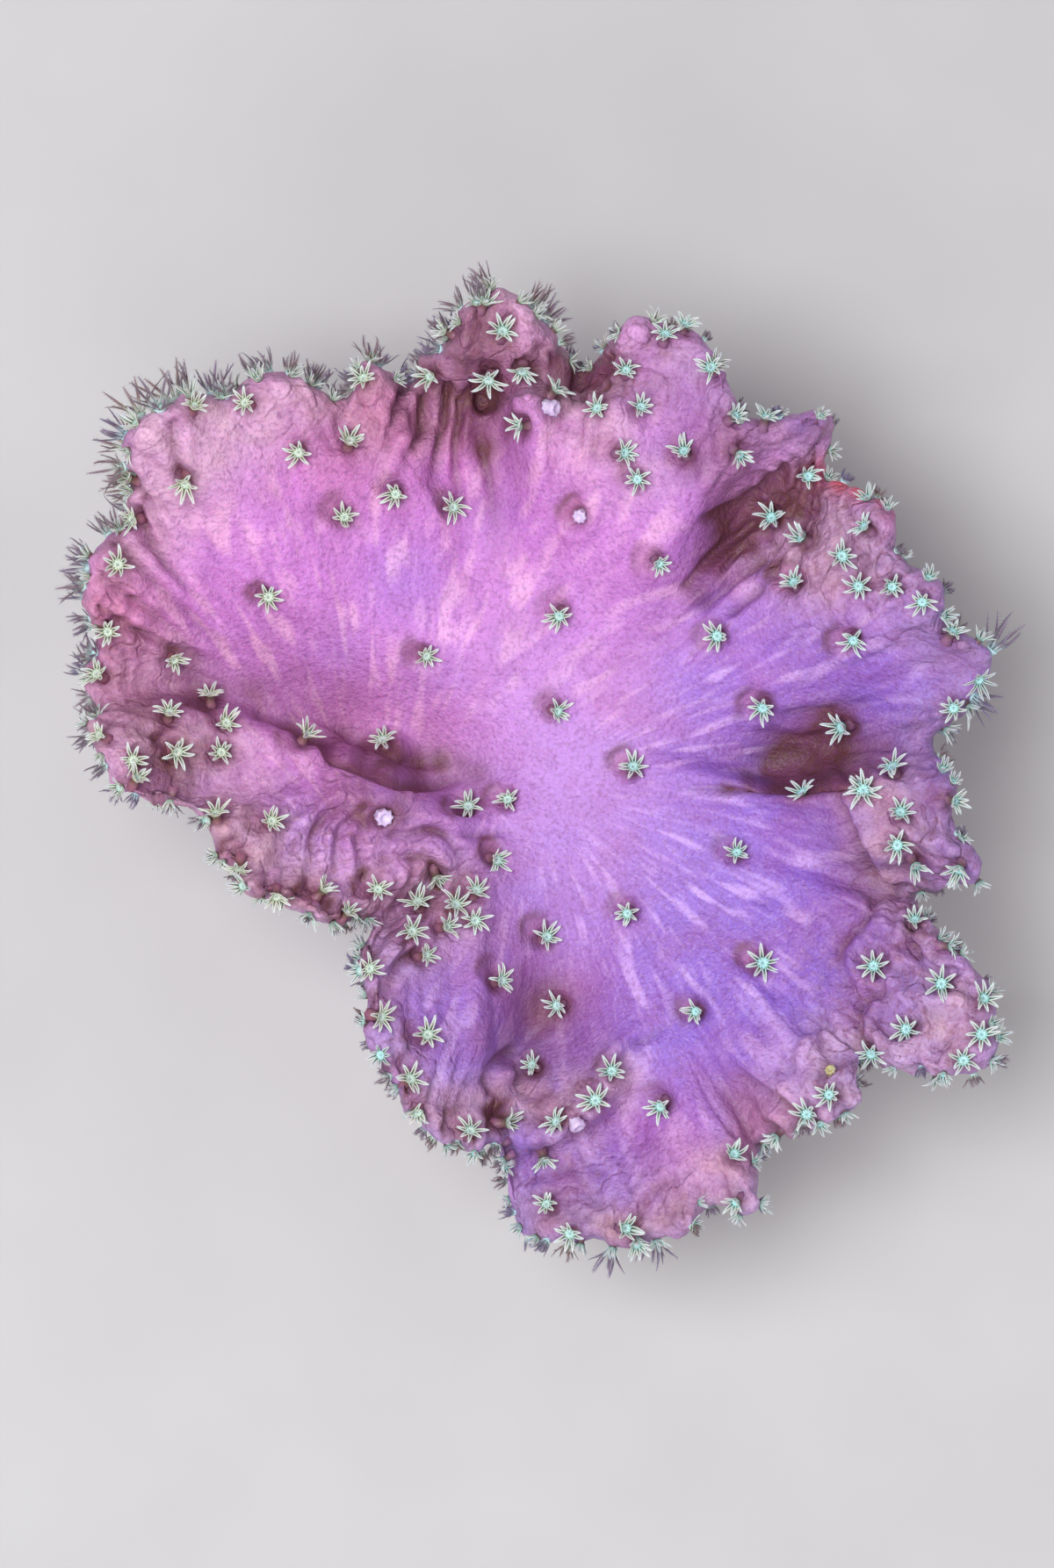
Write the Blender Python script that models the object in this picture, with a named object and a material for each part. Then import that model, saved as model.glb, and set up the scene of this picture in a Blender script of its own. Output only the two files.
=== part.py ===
"""Cabbage coral: a soft leathery colony, one thick disc on a short stalk, cut flat at its foot.

The disc is a shallow bowl with a lobed margin. Named folds press valleys into it and raise lips beside
them. Small polyps, each a short column with a flared crown, grow out of the skin and along the margin.
The colony is one closed solid. +Z is up, and the origin is the middle of the flat cut.
Lengths are in millimetres until the mesh is made, angles in degrees counter-clockwise from +X.
"""

import math

import bmesh
import bpy
import numpy as np
from mathutils import Vector
from mathutils.bvhtree import BVHTree

MM = 0.001

# The disc: its lowest point is the middle of the bowl, and its flesh thins towards the margin.
BOWL_HEIGHT = 24.0
RIM_HEIGHT = 35.0
MEAN_RADIUS = 38.0
BOWL_POWER = 2.1
RUFFLE_POWER = 4.0
EDGE_ROUND = 1.5
FLESH_MIDDLE = 6.5
FLESH_MARGIN = 3.9
BELLY_SOFTENING = 2.2

# The stalk: foot, waist and the neck where it opens into the disc. Where the margin comes in close,
# the neck draws in with it.
FOOT_RADIUS = 16.5
WAIST_RADIUS = 12.8
WAIST_SHARE = 0.45
NECK_RADIUS = 15.5
NECK_MOST = 0.72
STALK_FURROWS = 7
STALK_FURROW_DEPTH = 0.6

# The margin: (angle, radius, height of the skin there), one row for each lobe tip, notch and turn.
MARGIN = [
    (0, 35.5, 37), (6, 34.8, 33), (10, 38.0, 35), (13.5, 40.2, 36), (18, 39.2, 38), (22, 37.7, 39),
    (28, 38.0, 40), (32, 36.5, 39), (38, 38.2, 38), (45, 36.6, 33), (51.5, 39.8, 36), (57, 37.5, 38),
    (61, 35.5, 38), (67, 39.6, 37), (72, 41.0, 36), (79, 39.8, 35), (84, 36.5, 30), (88, 38.5, 34),
    (94, 42.2, 37), (100, 40.0, 37), (106, 36.5, 31), (112, 38.3, 34), (117, 37.3, 33), (122, 41.5, 36),
    (128, 42.0, 36), (132, 44.0, 38), (136.5, 45.4, 40), (141, 44.5, 37), (145, 43.0, 35), (148, 41.5, 33),
    (152, 42.8, 35), (158, 42.0, 34), (162, 40.2, 32), (166, 39.8, 30), (170, 39.5, 32), (174.5, 37.5, 35),
    (178, 36.8, 36), (181.5, 35.5, 36), (184, 30.5, 36), (188, 28.3, 36), (196, 27.8, 36), (202, 25.5, 36),
    (208, 23.5, 35), (213, 22.0, 34), (218, 19.6, 31), (221, 18.8, 29), (225, 22.3, 32), (228.5, 22.6, 34),
    (232, 23.8, 35), (238, 26.5, 35), (246, 29.5, 35), (252, 31.3, 34), (260, 32.7, 33), (263.8, 31.5, 30),
    (267.5, 39.0, 27), (271, 40.2, 29), (276, 40.1, 30), (282, 41.5, 31), (288, 40.7, 32), (293, 39.8, 33),
    (297, 41.3, 34), (302, 37.0, 31), (306, 37.6, 34), (315, 38.5, 37), (318.5, 37.2, 34), (324, 42.0, 36),
    (327, 45.3, 38), (330.5, 45.0, 38), (335, 42.8, 36), (338.5, 38.6, 35), (343, 34.3, 30), (348, 38.3, 37),
    (351, 37.0, 38), (354.5, 36.1, 38),
]

# The margin's small scallops: (waves round the disc, how high they stand, phase).
SCALLOPS = [(29, 0.35, 0.6), (41, 0.35, 2.1), (53, 0.25, 4.4)]
SCALLOP_POWER = 9
SCALLOP_OUT = 0.6

# Paths are followed in this many steps between two of their points, and read with this blur.
PATH_STEPS = 9
PATH_BLUR = 1.3
SIDE_BLUR = 0.15
LIP_PLACE = 1.7


class Fold:
    """A valley, or with a negative depth a ridge, that runs along a smooth path of (angle, radius) points.

    depth is given at each point of the path. left and right are the half-widths on the two sides as one
    travels along it. lip_left and lip_right raise a rounded lip just outside each wall, and lean moves
    the lips over the valley, so that a narrow wall overhangs.
    """

    def __init__(self, path, depth, left, right, lip_left=0.0, lip_right=0.0, lean=0.0):
        knots = np.array([on_circle(angle, radius) for angle, radius in path])
        along = np.linspace(0, len(path) - 1, PATH_STEPS * (len(path) - 1) + 1)
        self.points = through(knots, along)
        ahead = np.gradient(self.points, axis=0)
        self.side = np.column_stack([-ahead[:, 1], ahead[:, 0]]) / np.linalg.norm(ahead, axis=1)[:, None]
        self.depth = through(np.array(depth, float)[:, None], along)[:, 0]
        self.most = abs(self.depth).max()
        self.left, self.right = left, right
        self.lip_left, self.lip_right = lip_left, lip_right
        self.lean = lean

    def measure(self, xy):
        """At each place: distance from the path, distance to its left, depth and side of the path there.

        Each is a mean over the path's points, weighted to the nearest ones, so it changes smoothly.
        """
        gaps = xy[:, None, :] - self.points[None, :, :]
        squares = (gaps ** 2).sum(axis=2)
        weights = np.exp((squares.min(axis=1)[:, None] - squares) / PATH_BLUR ** 2)
        weights /= weights.sum(axis=1)[:, None]
        leftward = (weights * (gaps * self.side).sum(axis=2)).sum(axis=1)
        away = np.sqrt((weights * squares).sum(axis=1))
        return away, leftward, weights @ self.depth, weights @ self.side


def on_circle(angle, radius):
    """The place at this angle and distance from the axis."""
    turn = math.radians(angle)
    return radius * math.cos(turn), radius * math.sin(turn)


def through(knots, along):
    """A smooth curve through equally spaced knots: cubic, each slope the chord of its two neighbours."""
    slopes = np.gradient(knots, axis=0)
    first = np.clip(along.astype(int), 0, len(knots) - 2)
    t = (along - first)[:, None]
    start, end = knots[first], knots[first + 1]
    rise = (2 * t ** 3 - 3 * t ** 2 + 1) * start + (3 * t ** 2 - 2 * t ** 3) * end
    return rise + (t ** 3 - 2 * t ** 2 + t) * slopes[first] + (t ** 3 - t ** 2) * slopes[first + 1]


def around(angle, column):
    """The margin's radius (column 1) or height (column 2) at each angle, a smooth loop through its rows."""
    rows = np.array(MARGIN, float)
    rows = np.vstack([rows[-2:] - [360, 0, 0], rows, rows[:3] + [360, 0, 0]])
    at, value = rows[:, 0], rows[:, column]
    slope = np.zeros(len(rows))
    slope[1:-1] = (value[2:] - value[:-2]) / (at[2:] - at[:-2])
    turn = np.mod(angle, 360)
    first = np.searchsorted(at, turn, side="right") - 1
    step = at[first + 1] - at[first]
    t = (turn - at[first]) / step
    rise = (2 * t ** 3 - 3 * t ** 2 + 1) * value[first] + (3 * t ** 2 - 2 * t ** 3) * value[first + 1]
    return rise + step * ((t ** 3 - 2 * t ** 2 + t) * slope[first] + (t ** 3 - t ** 2) * slope[first + 1])


FOLDS = {
    "left_valley": Fold(
        [(222, 5), (178, 8.5), (168.5, 16), (164.5, 24), (164, 31), (168, 38)], [0, 7.5, 7.5, 6, 5.5, 2],
        left=2.0, right=7.5, lip_left=2.2, lean=1.4),
    "right_valley": Fold(
        [(25, 10), (8, 16), (2, 21), (3, 26), (6, 31), (7, 36)], [0, 4.5, 9, 8, 3.5, 0.5],
        left=6.0, right=1.8, lip_right=2.0, lean=1.5),
    "upper_right_valley": Fold(
        [(62, 9), (54, 16), (50, 23), (46, 30), (44, 36)], [0, 4, 8.5, 7.5, 2],
        left=2.4, right=7.0, lip_left=2.2, lean=1.5),
    "top_valley": Fold(
        [(100, 15), (98, 22), (96.5, 28), (97, 33), (103, 38)], [0, 4, 9.5, 9.5, 3],
        left=4.0, right=2.3, lip_right=1.8, lean=1.3),
    "top_recess": Fold(
        [(97, 34), (90, 35), (84, 35), (78, 35.5)], [5, 5.5, 5, 1],
        left=2.2, right=1.8, lip_right=1.4, lean=1.0),
    "lower_left_seam": Fold(
        [(221, 21), (225, 14), (234, 9.5), (250, 6.5)], [6, 6.5, 5, 0],
        left=1.6, right=1.6, lip_left=1.8, lip_right=1.8, lean=0.8),
    "lower_valley": Fold(
        [(268, 9), (270, 14), (267, 20), (261, 25), (259, 30)], [0, 2.5, 5.5, 5.5, 1.5],
        left=5.5, right=2.6, lip_right=1.8, lean=0.8),
    "bottom_step": Fold(
        [(264, 35), (270, 33), (278, 31.5), (286, 29), (292, 25)], [3, 4.5, 4.5, 3.5, 0],
        left=1.8, right=5.0, lip_left=2.4, lean=1.2),
    "lower_right_crease": Fold(
        [(296, 27), (303, 33), (302, 38)], [0, 2.5, 2], left=1.8, right=2.2, lip_left=0.8, lean=0.4),
    "right_notch": Fold(
        [(346, 25), (343.5, 30), (343, 35)], [0, 3.5, 4], left=2.2, right=1.8, lip_left=1.0, lean=0.5),
    "upper_right_crease": Fold(
        [(28, 30), (33, 33), (32, 37)], [0, 2, 2.5], left=1.8, right=2.0, lip_left=0.8, lean=0.4),
    "front_bulge": Fold([(66, 22), (76, 27), (88, 30)], [-2.5, -3.6, -2.8], left=6.0, right=6.0),
    "upper_right_bank": Fold([(37, 28), (27, 32), (18, 33)], [-1.5, -2.5, -1.0], left=5.0, right=4.0),
    "right_knobs": Fold(
        [(2, 31), (357, 27), (350, 28.5), (344, 31)], [-1.5, -3, -2.5, -1],
        left=4.0, right=1.8),
    "left_lobe_ridge": Fold([(206, 9), (193, 15), (189, 24)], [-1.5, -3.5, -2.5], left=4.5, right=3.0),
    "left_knob": Fold([(172, 13.6), (168, 12.8)], [-3.0, -3.0], left=1.7, right=1.7),
    "lower_left_plate": Fold([(236, 13), (240, 20), (247, 26)], [-1.0, -2.6, -2.0], left=4.5, right=3.5),
    "lower_left_bank": Fold([(258, 30), (270, 27.5), (283, 25.5)], [-1.0, -2.5, -1.5], left=3.0, right=2.5),
}

# A polyp is a short column that flares to an eight-sided, dished crown: (radius, rise) when it is open,
# half closed and closed. Those on the margin reach further out.
CROWNS = [(1.4, 1.4), (1.0, 1.3), (0.6, 1.1)]
RIM_CROWNS = [(1.4, 2.3), (1.0, 2.0), (0.6, 1.5)]
CROWN_DIP = 0.4
CROWN_SIDES = 8
CROWN_CLEARANCE = 0.35
COLUMN_SHARE = 0.5
BASE_LIFT = 0.05
COLUMN_GAP = 1.6
FURTHEST_FACE = 2.0
RIM_CROWN_STEP = 4.0
RIM_TILTS = (35, -25)
NORMAL_TURN = 1.5
NORMAL_SHARE = 0.03

# Polyps that stand on the disc, as (angle, radius), grouped by the part of the disc they grow on.
DISC_POLYPS = {
    "middle": [(7, 8.3), (75, 6.1), (82, 14.6), (132, 14.3), (305, 13.9), (274, 13.9), (17, 20.5),
               (39, 20.2), (340.5, 18.3), (321, 24.7), (304.5, 24), (60, 21.2), (81, 22.6)],
    "upper left": [(106, 24.8), (116, 27), (126, 27.8), (125.5, 34.7), (118.5, 33), (147, 27.6),
                   (139.5, 38.8), (132.5, 42.5), (127.5, 40), (144, 43.4), (153, 39.7), (147.5, 41)],
    "left": [(162, 32.8), (162.5, 39), (168, 20.2), (164.5, 29), (168.5, 26.8), (169.5, 32), (166.5, 38.5),
             (164, 13.8), (173, 37), (175, 30.7), (175.5, 26.7), (177, 33.7), (180, 34)],
    "left lobe": [(185.5, 27), (189, 22.5), (195, 6), (194.5, 13.2), (196.5, 26), (205, 24), (207, 20.3),
                  (214.5, 16), (216.5, 19)],
    "seam": [(225.5, 12), (227.5, 21.4), (229.5, 16.2), (236, 12.5), (237, 23.8), (238.5, 17),
             (242, 11), (243, 7.5)],
    "lower left": [(247, 23.3), (248, 27.2), (251, 30), (259, 30.3), (261, 17.3), (266, 29.4), (269, 24.3)],
    "bottom": [(271, 32.7), (271, 36.3), (273.5, 29.2), (276, 19.6), (277.5, 30.7), (280.5, 39.2),
               (281, 28.3), (287, 26), (291, 29.5), (295, 39.6), (274, 39.4)],
    "lower right": [(298.5, 36), (304, 37), (308.5, 36.3), (313, 36.5), (315.5, 35), (320.5, 36.5),
                    (326.5, 37.7), (327, 43), (331.5, 33), (333.5, 38.5), (334, 42), (338.5, 37.2)],
    "right": [(340.8, 34.5), (346.5, 32.5), (348, 36.5), (349.5, 30.7), (354.5, 31), (357.5, 35.5),
              (358, 27.8), (3.5, 30.3), (0, 27.9), (10.5, 35.4)],
    "upper right": [(23.5, 29), (38, 27.5), (24.5, 35.5), (20, 37.2), (29, 34), (32, 31.7), (37, 31.8),
                    (37.5, 35), (42.5, 31), (48, 30.3), (48, 34.6), (58, 32.3), (62, 34.8)],
    "top right": [(66, 30.5), (71, 27), (75.5, 28.8), (74, 33.2), (81.3, 32.2), (78, 35.5), (74, 39.2),
                  (67.5, 37.6)],
    "top": [(86.5, 33.8), (91.5, 35), (93.5, 29.7), (94, 37.8), (97.5, 34.3), (96, 41), (102, 39),
            (105, 35.5), (114, 37)],
}

# Rings of the mesh, from the middle of the bowl out: (share of the way to the margin, points round it).
SKIN_RINGS = [(0.07, 20), (0.14, 20), (0.21, 40), (0.29, 40), (0.37, 80), (0.45, 80), (0.53, 80),
              (0.60, 160), (0.67, 160), (0.74, 160), (0.80, 160), (0.86, 160), (0.91, 160), (0.955, 160),
              (1.0, 160)]
# Then back along the underside (share of the way from neck to margin) and down the stalk (share of its
# height).
BELLY_RINGS = [(1.0, 160), (0.80, 80), (0.52, 80), (0.24, 80)]
STALK_RINGS = [(1.0, 40), (0.72, 40), (0.45, 40), (0.2, 40), (0.0, 40)]


def relief(xy, soften=0.0, lips=True):
    """What the folds add to the height at each place, and how far their lips lean sideways."""
    height = np.zeros(len(xy))
    shift = np.zeros((len(xy), 2))
    for fold in FOLDS.values():
        away, leftward, depth, side = fold.measure(xy)
        blend = 0.5 + 0.5 * np.tanh(leftward / (SIDE_BLUR * (fold.left + fold.right)))
        half = fold.right + (fold.left - fold.right) * blend + soften
        height -= depth * np.exp(-(away / half) ** 2)
        if not lips:
            continue
        share = depth / fold.most
        for lip, sign, width in ((fold.lip_left, 1, fold.left), (fold.lip_right, -1, fold.right)):
            bump = share * np.exp(-((leftward * sign - LIP_PLACE * width) / width) ** 2)
            height += lip * bump
            if lip > 0:
                shift -= (sign * fold.lean * bump)[:, None] * side
    return height, shift


def bowl(angle, share):
    """The bowl under the folds: an even climb to the rim, with the margin's ruffles growing towards it.

    Near the middle the climb follows the distance from the axis, and at the margin the share of the way.
    """
    reach = around(angle, 1) - EDGE_ROUND
    turn = np.radians(angle)
    level = share ** 3 + (1 - share ** 2) * reach * share / MEAN_RADIUS
    climb = 0.25 * level + 0.75 * level ** BOWL_POWER
    ruffle = (around(angle, 2) - RIM_HEIGHT) * share ** RUFFLE_POWER
    scallop = sum(size * np.sin(waves * turn + phase) for waves, size, phase in SCALLOPS)
    scallop = scallop * share ** SCALLOP_POWER
    height = BOWL_HEIGHT + (RIM_HEIGHT - BOWL_HEIGHT) * climb + ruffle + scallop
    radius = reach * share + SCALLOP_OUT * scallop
    xy = np.stack([np.cos(turn), np.sin(turn)], axis=1) * radius[:, None]
    return xy, height


def skin(angle, share):
    """Points of the upper skin: the bowl with its folds, and the lips leaning over them."""
    xy, height = bowl(angle, share)
    lift, shift = relief(xy)
    fade = 1 - 0.6 * share ** 8
    return np.column_stack([xy + shift * fade[:, None], height + lift * fade])


def neck(angle):
    """The stalk's radius where it meets the disc."""
    return np.minimum(NECK_RADIUS, NECK_MOST * (around(angle, 1) - EDGE_ROUND))


def belly(angle, way):
    """Points of the underside, from neck (0) to margin (1): the skin's form, softer, a flesh's depth down."""
    reach = around(angle, 1) - EDGE_ROUND
    share = (neck(angle) + (reach - neck(angle)) * way) / reach
    xy, height = bowl(angle, share)
    lift, _ = relief(xy, soften=BELLY_SOFTENING, lips=False)
    flesh = FLESH_MARGIN + (FLESH_MIDDLE - FLESH_MARGIN) * (1 - way)
    return np.column_stack([xy, height + 0.8 * lift * (1 - 0.6 * share ** 8) - flesh])


def edge(angle):
    """Points of the rounded edge, half-way between skin and belly and one rounding further out."""
    turn = np.radians(angle)
    out = np.stack([np.cos(turn), np.sin(turn), np.zeros(len(turn))], axis=1)
    whole = np.ones(len(turn))
    return (skin(angle, whole) + belly(angle, whole)) / 2 + EDGE_ROUND * out


def stalk(angle, rise):
    """Points of the stalk at a share of its height: the neck narrows to the waist and opens to the foot."""
    up = np.clip((rise - WAIST_SHARE) / (1 - WAIST_SHARE), 0, 1)
    down = np.clip(1 - rise / WAIST_SHARE, 0, 1)
    radius = WAIST_RADIUS + (neck(angle) - WAIST_RADIUS) * up ** 2 + (FOOT_RADIUS - WAIST_RADIUS) * down ** 2
    turn = np.radians(angle)
    radius = radius + STALK_FURROW_DEPTH * np.cos(STALK_FURROWS * turn) * (1 - up)
    height = belly(angle, np.zeros(len(turn)))[:, 2] * rise
    return np.column_stack([radius * np.cos(turn), radius * np.sin(turn), height])


def ring_angles(count):
    return np.arange(count) * 360.0 / count


def add_ring(mesh, points):
    return [mesh.verts.new(point * MM) for point in points]


def add_band(mesh, ring, following):
    """Faces between two rings of equal count, or of counts one and two to one, which meet in triangles."""
    few, many = sorted((len(ring), len(following)))
    for k in range(few):
        n = (k + 1) % few
        if few == many:
            mesh.faces.new((ring[k], following[k], following[n], ring[n]))
            continue
        here, middle, there = 2 * k, 2 * k + 1, (2 * k + 2) % many
        if len(ring) == few:
            mesh.faces.new((ring[k], following[here], following[middle]))
            mesh.faces.new((ring[k], following[middle], ring[n]))
            mesh.faces.new((ring[n], following[middle], following[there]))
        else:
            mesh.faces.new((ring[here], following[k], ring[middle]))
            mesh.faces.new((ring[middle], following[k], following[n]))
            mesh.faces.new((ring[middle], following[n], ring[there]))


def add_flesh(mesh):
    """The closed body without its polyps: skin, edge, underside, stalk and the flat cut."""
    centre = mesh.verts.new(skin(np.zeros(1), np.zeros(1))[0] * MM)
    rings = []
    for share, count in SKIN_RINGS:
        rings.append(add_ring(mesh, skin(ring_angles(count), np.full(count, share))))
    rings.append(add_ring(mesh, edge(ring_angles(SKIN_RINGS[-1][1]))))
    for way, count in BELLY_RINGS:
        rings.append(add_ring(mesh, belly(ring_angles(count), np.full(count, way))))
    for rise, count in STALK_RINGS:
        rings.append(add_ring(mesh, stalk(ring_angles(count), rise)))
    first = rings[0]
    for k, vertex in enumerate(first):
        mesh.faces.new((centre, vertex, first[(k + 1) % len(first)]))
    for ring, following in zip(rings, rings[1:]):
        add_band(mesh, ring, following)
    mesh.faces.new(tuple(reversed(rings[-1])))


def outward(points_of, angle, share):
    """The normal of a sheet of points at one place, from its slopes along both parameters."""
    angles = np.array([angle - NORMAL_TURN, angle + NORMAL_TURN, angle, angle])
    shares = np.array([share, share, share - NORMAL_SHARE, share])
    before, after, inner, outer = points_of(angles, shares)
    normal = np.cross(outer - inner, after - before)
    return Vector(normal / np.linalg.norm(normal))


def disc_polyps():
    """The place and direction of each polyp on the disc."""
    for places in DISC_POLYPS.values():
        for angle, radius in places:
            reach = around(np.array([angle]), 1)[0] - EDGE_ROUND
            share = min(radius / reach, 1.0)
            place = skin(np.array([angle]), np.array([share]))[0]
            yield Vector(place), outward(skin, angle, share)


def rim_polyps():
    """The place and direction of each polyp on the rounded edge, evenly spaced, up and down by turns."""
    fine = ring_angles(1440)
    line = edge(fine)
    steps = np.linalg.norm(np.diff(line, axis=0, append=line[:1]), axis=1)
    along = np.concatenate([[0], np.cumsum(steps)[:-1]])
    for count, start in enumerate(np.arange(RIM_CROWN_STEP / 2, along[-1], RIM_CROWN_STEP)):
        angle = fine[np.searchsorted(along, start)]
        turn = math.radians(angle)
        tilt = math.radians(RIM_TILTS[count % len(RIM_TILTS)])
        out = Vector((math.cos(turn) * math.cos(tilt), math.sin(turn) * math.cos(tilt), math.sin(tilt)))
        place = Vector(edge(np.array([angle]))[0]) - out * EDGE_ROUND
        yield place + out * EDGE_ROUND, out


def crown_frame(face, direction):
    """Two axes across the crown and the turn that sets its corners over the corners of the face."""
    middle = face.calc_center_median()
    across = face.verts[0].co - middle
    across = (across - direction * across.dot(direction)).normalized()
    along = direction.cross(across)
    spin = 0.0
    for k, vertex in enumerate(face.verts):
        gap = vertex.co - middle
        turn = math.atan2(gap.dot(along), gap.dot(across)) - math.tau * k / len(face.verts)
        spin += (turn + math.pi) % math.tau - math.pi
    return across, along, spin / len(face.verts)


def crown_points(face, top, direction, radius):
    across, along, spin = crown_frame(face, direction)
    turns = [spin + math.tau * k / CROWN_SIDES for k in range(CROWN_SIDES)]
    return [top + (across * math.cos(turn) + along * math.sin(turn)) * radius * MM for turn in turns]


def column_base(face):
    middle = face.calc_center_median()
    return [middle + (corner.co - middle) * COLUMN_SHARE for corner in face.verts]


def is_clear(flesh, face, top, direction, crown):
    """Whether each corner of a crown stands off the flesh and sees its middle and the column's base."""
    base = [point + direction * BASE_LIFT * MM for point in column_base(face)]
    for point in crown:
        if flesh.find_nearest(point)[3] < CROWN_CLEARANCE * MM:
            return False
        for seen in [top, *base]:
            gap = seen - point
            if flesh.ray_cast(point, gap.normalized(), gap.length)[0]:
                return False
    return True


def grow_polyp(mesh, face, top, direction, crown):
    """Turns one four-sided face into a polyp: a short column that flares to an eight-sided, dished crown."""
    corners = list(face.verts)
    base = [mesh.verts.new(point) for point in column_base(face)]
    bmesh.ops.delete(mesh, geom=[face], context="FACES_ONLY")
    rim = [mesh.verts.new(point) for point in crown]
    mouth = mesh.verts.new(top - direction * CROWN_DIP * MM)
    for k in range(len(corners)):
        n = (k + 1) % len(corners)
        here, halfway, there = rim[2 * k], rim[2 * k + 1], rim[(2 * k + 2) % CROWN_SIDES]
        mesh.faces.new((corners[k], corners[n], base[n], base[k]))
        mesh.faces.new((base[k], base[n], halfway))
        mesh.faces.new((base[k], halfway, here))
        mesh.faces.new((base[n], there, halfway))
        mesh.faces.new((here, halfway, mouth))
        mesh.faces.new((halfway, there, mouth))


def add_polyps(mesh):
    """Grows each polyp from the nearest free four-sided face of the flesh.

    A crown that would cut the flesh or touch another crown is half closed, or closed, or left out.
    """
    flesh = BVHTree.FromBMesh(mesh)
    free = [face for face in mesh.faces if len(face.verts) == 4]
    centres = np.array([face.calc_center_median() for face in free])
    taken = np.zeros(len(free), bool)
    grown = []
    polyps = [(*polyp, CROWNS) for polyp in disc_polyps()] + [(*polyp, RIM_CROWNS) for polyp in rim_polyps()]
    for place, direction, crowns in polyps:
        gaps = np.linalg.norm(centres - np.array(place) * MM, axis=1) + taken
        nearest = int(gaps.argmin())
        if gaps[nearest] > FURTHEST_FACE * MM:
            continue
        face = free[nearest]
        direction = (direction + face.normal).normalized()
        for radius, rise in crowns:
            top = place * MM + direction * rise * MM
            crown = crown_points(face, top, direction, radius)
            room = radius + CROWN_CLEARANCE
            apart = all((top - other).length > (room + size) * MM for other, size in grown)
            if apart and is_clear(flesh, face, top, direction, crown):
                grow_polyp(mesh, face, top, direction, crown)
                grown.append((top, radius))
                taken |= np.linalg.norm(centres - centres[nearest], axis=1) < COLUMN_GAP * MM
                break


def flesh_material():
    material = bpy.data.materials.new("coral_flesh")
    material.use_nodes = True
    shader = material.node_tree.nodes["Principled BSDF"]
    shader.inputs["Base Color"].default_value = (0.50, 0.24, 0.66, 1.0)
    shader.inputs["Roughness"].default_value = 0.62
    shader.inputs["Metallic"].default_value = 0.0
    return material


def main():
    for old in list(bpy.data.objects):
        bpy.data.objects.remove(old)
    mesh = bmesh.new()
    add_flesh(mesh)
    add_polyps(mesh)
    data = bpy.data.meshes.new("coral_colony")
    mesh.to_mesh(data)
    mesh.free()
    data.materials.append(flesh_material())
    data.shade_smooth()
    data.set_sharp_from_angle(angle=math.radians(50))
    colony = bpy.data.objects.new("coral_colony", data)
    bpy.context.scene.collection.objects.link(colony)


main()
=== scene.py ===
"""A cabbage leather coral as it looks alive: a lobed, folded disc on a short stalk, its polyps out.

Lengths are in millimetres until a mesh is filled, and angles in degrees counter-clockwise from +X,
as seen from above. +Z is up, and the origin is the middle of the flat cut at the foot.
"""

import itertools
import math

import bpy
import numpy as np
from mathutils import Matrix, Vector


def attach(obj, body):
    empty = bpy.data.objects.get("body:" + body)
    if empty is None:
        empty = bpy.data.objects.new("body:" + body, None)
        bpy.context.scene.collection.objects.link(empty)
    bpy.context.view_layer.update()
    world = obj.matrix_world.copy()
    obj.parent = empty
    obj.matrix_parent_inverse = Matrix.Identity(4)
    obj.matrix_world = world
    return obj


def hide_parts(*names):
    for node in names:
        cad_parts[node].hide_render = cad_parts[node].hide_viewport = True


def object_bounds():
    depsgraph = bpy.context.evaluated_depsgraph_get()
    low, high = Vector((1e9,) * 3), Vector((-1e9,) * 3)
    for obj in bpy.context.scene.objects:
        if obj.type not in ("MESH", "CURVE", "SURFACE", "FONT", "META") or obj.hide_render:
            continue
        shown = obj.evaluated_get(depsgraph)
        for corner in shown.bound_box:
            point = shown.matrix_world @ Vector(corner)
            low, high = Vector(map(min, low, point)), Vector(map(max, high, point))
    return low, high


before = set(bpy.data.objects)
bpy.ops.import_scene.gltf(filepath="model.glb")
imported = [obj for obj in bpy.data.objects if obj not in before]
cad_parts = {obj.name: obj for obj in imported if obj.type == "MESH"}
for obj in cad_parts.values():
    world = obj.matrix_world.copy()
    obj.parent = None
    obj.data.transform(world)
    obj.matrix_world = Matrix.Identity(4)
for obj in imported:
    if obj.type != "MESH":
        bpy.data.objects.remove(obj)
cad_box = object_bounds()
MM = 0.001

# --------------------------------------------------------------------------------------------------------
# The disc. The colony is one sheet of leathery flesh, 4 to 6 mm thick, that has grown as a shallow bowl.
# Where its edge grew faster than its middle, the sheet has folded: valleys run in from the notches of the
# margin, and the skin rolls over them in lips.
# --------------------------------------------------------------------------------------------------------
BOWL_HEIGHT = 24.0
RIM_HEIGHT = 35.0
MEAN_RADIUS = 38.0
BOWL_POWER = 2.1
RUFFLE_POWER = 4.0
EDGE_ROUND = 1.5
FLESH_MIDDLE = 6.5
FLESH_MARGIN = 3.9
BELLY_SOFTENING = 2.2
BELLY_RELIEF = 0.8
# Towards the margin the folds fade by this share, with this power of the way out.
FOLD_FADE = 0.6
FADE_POWER = 8

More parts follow.
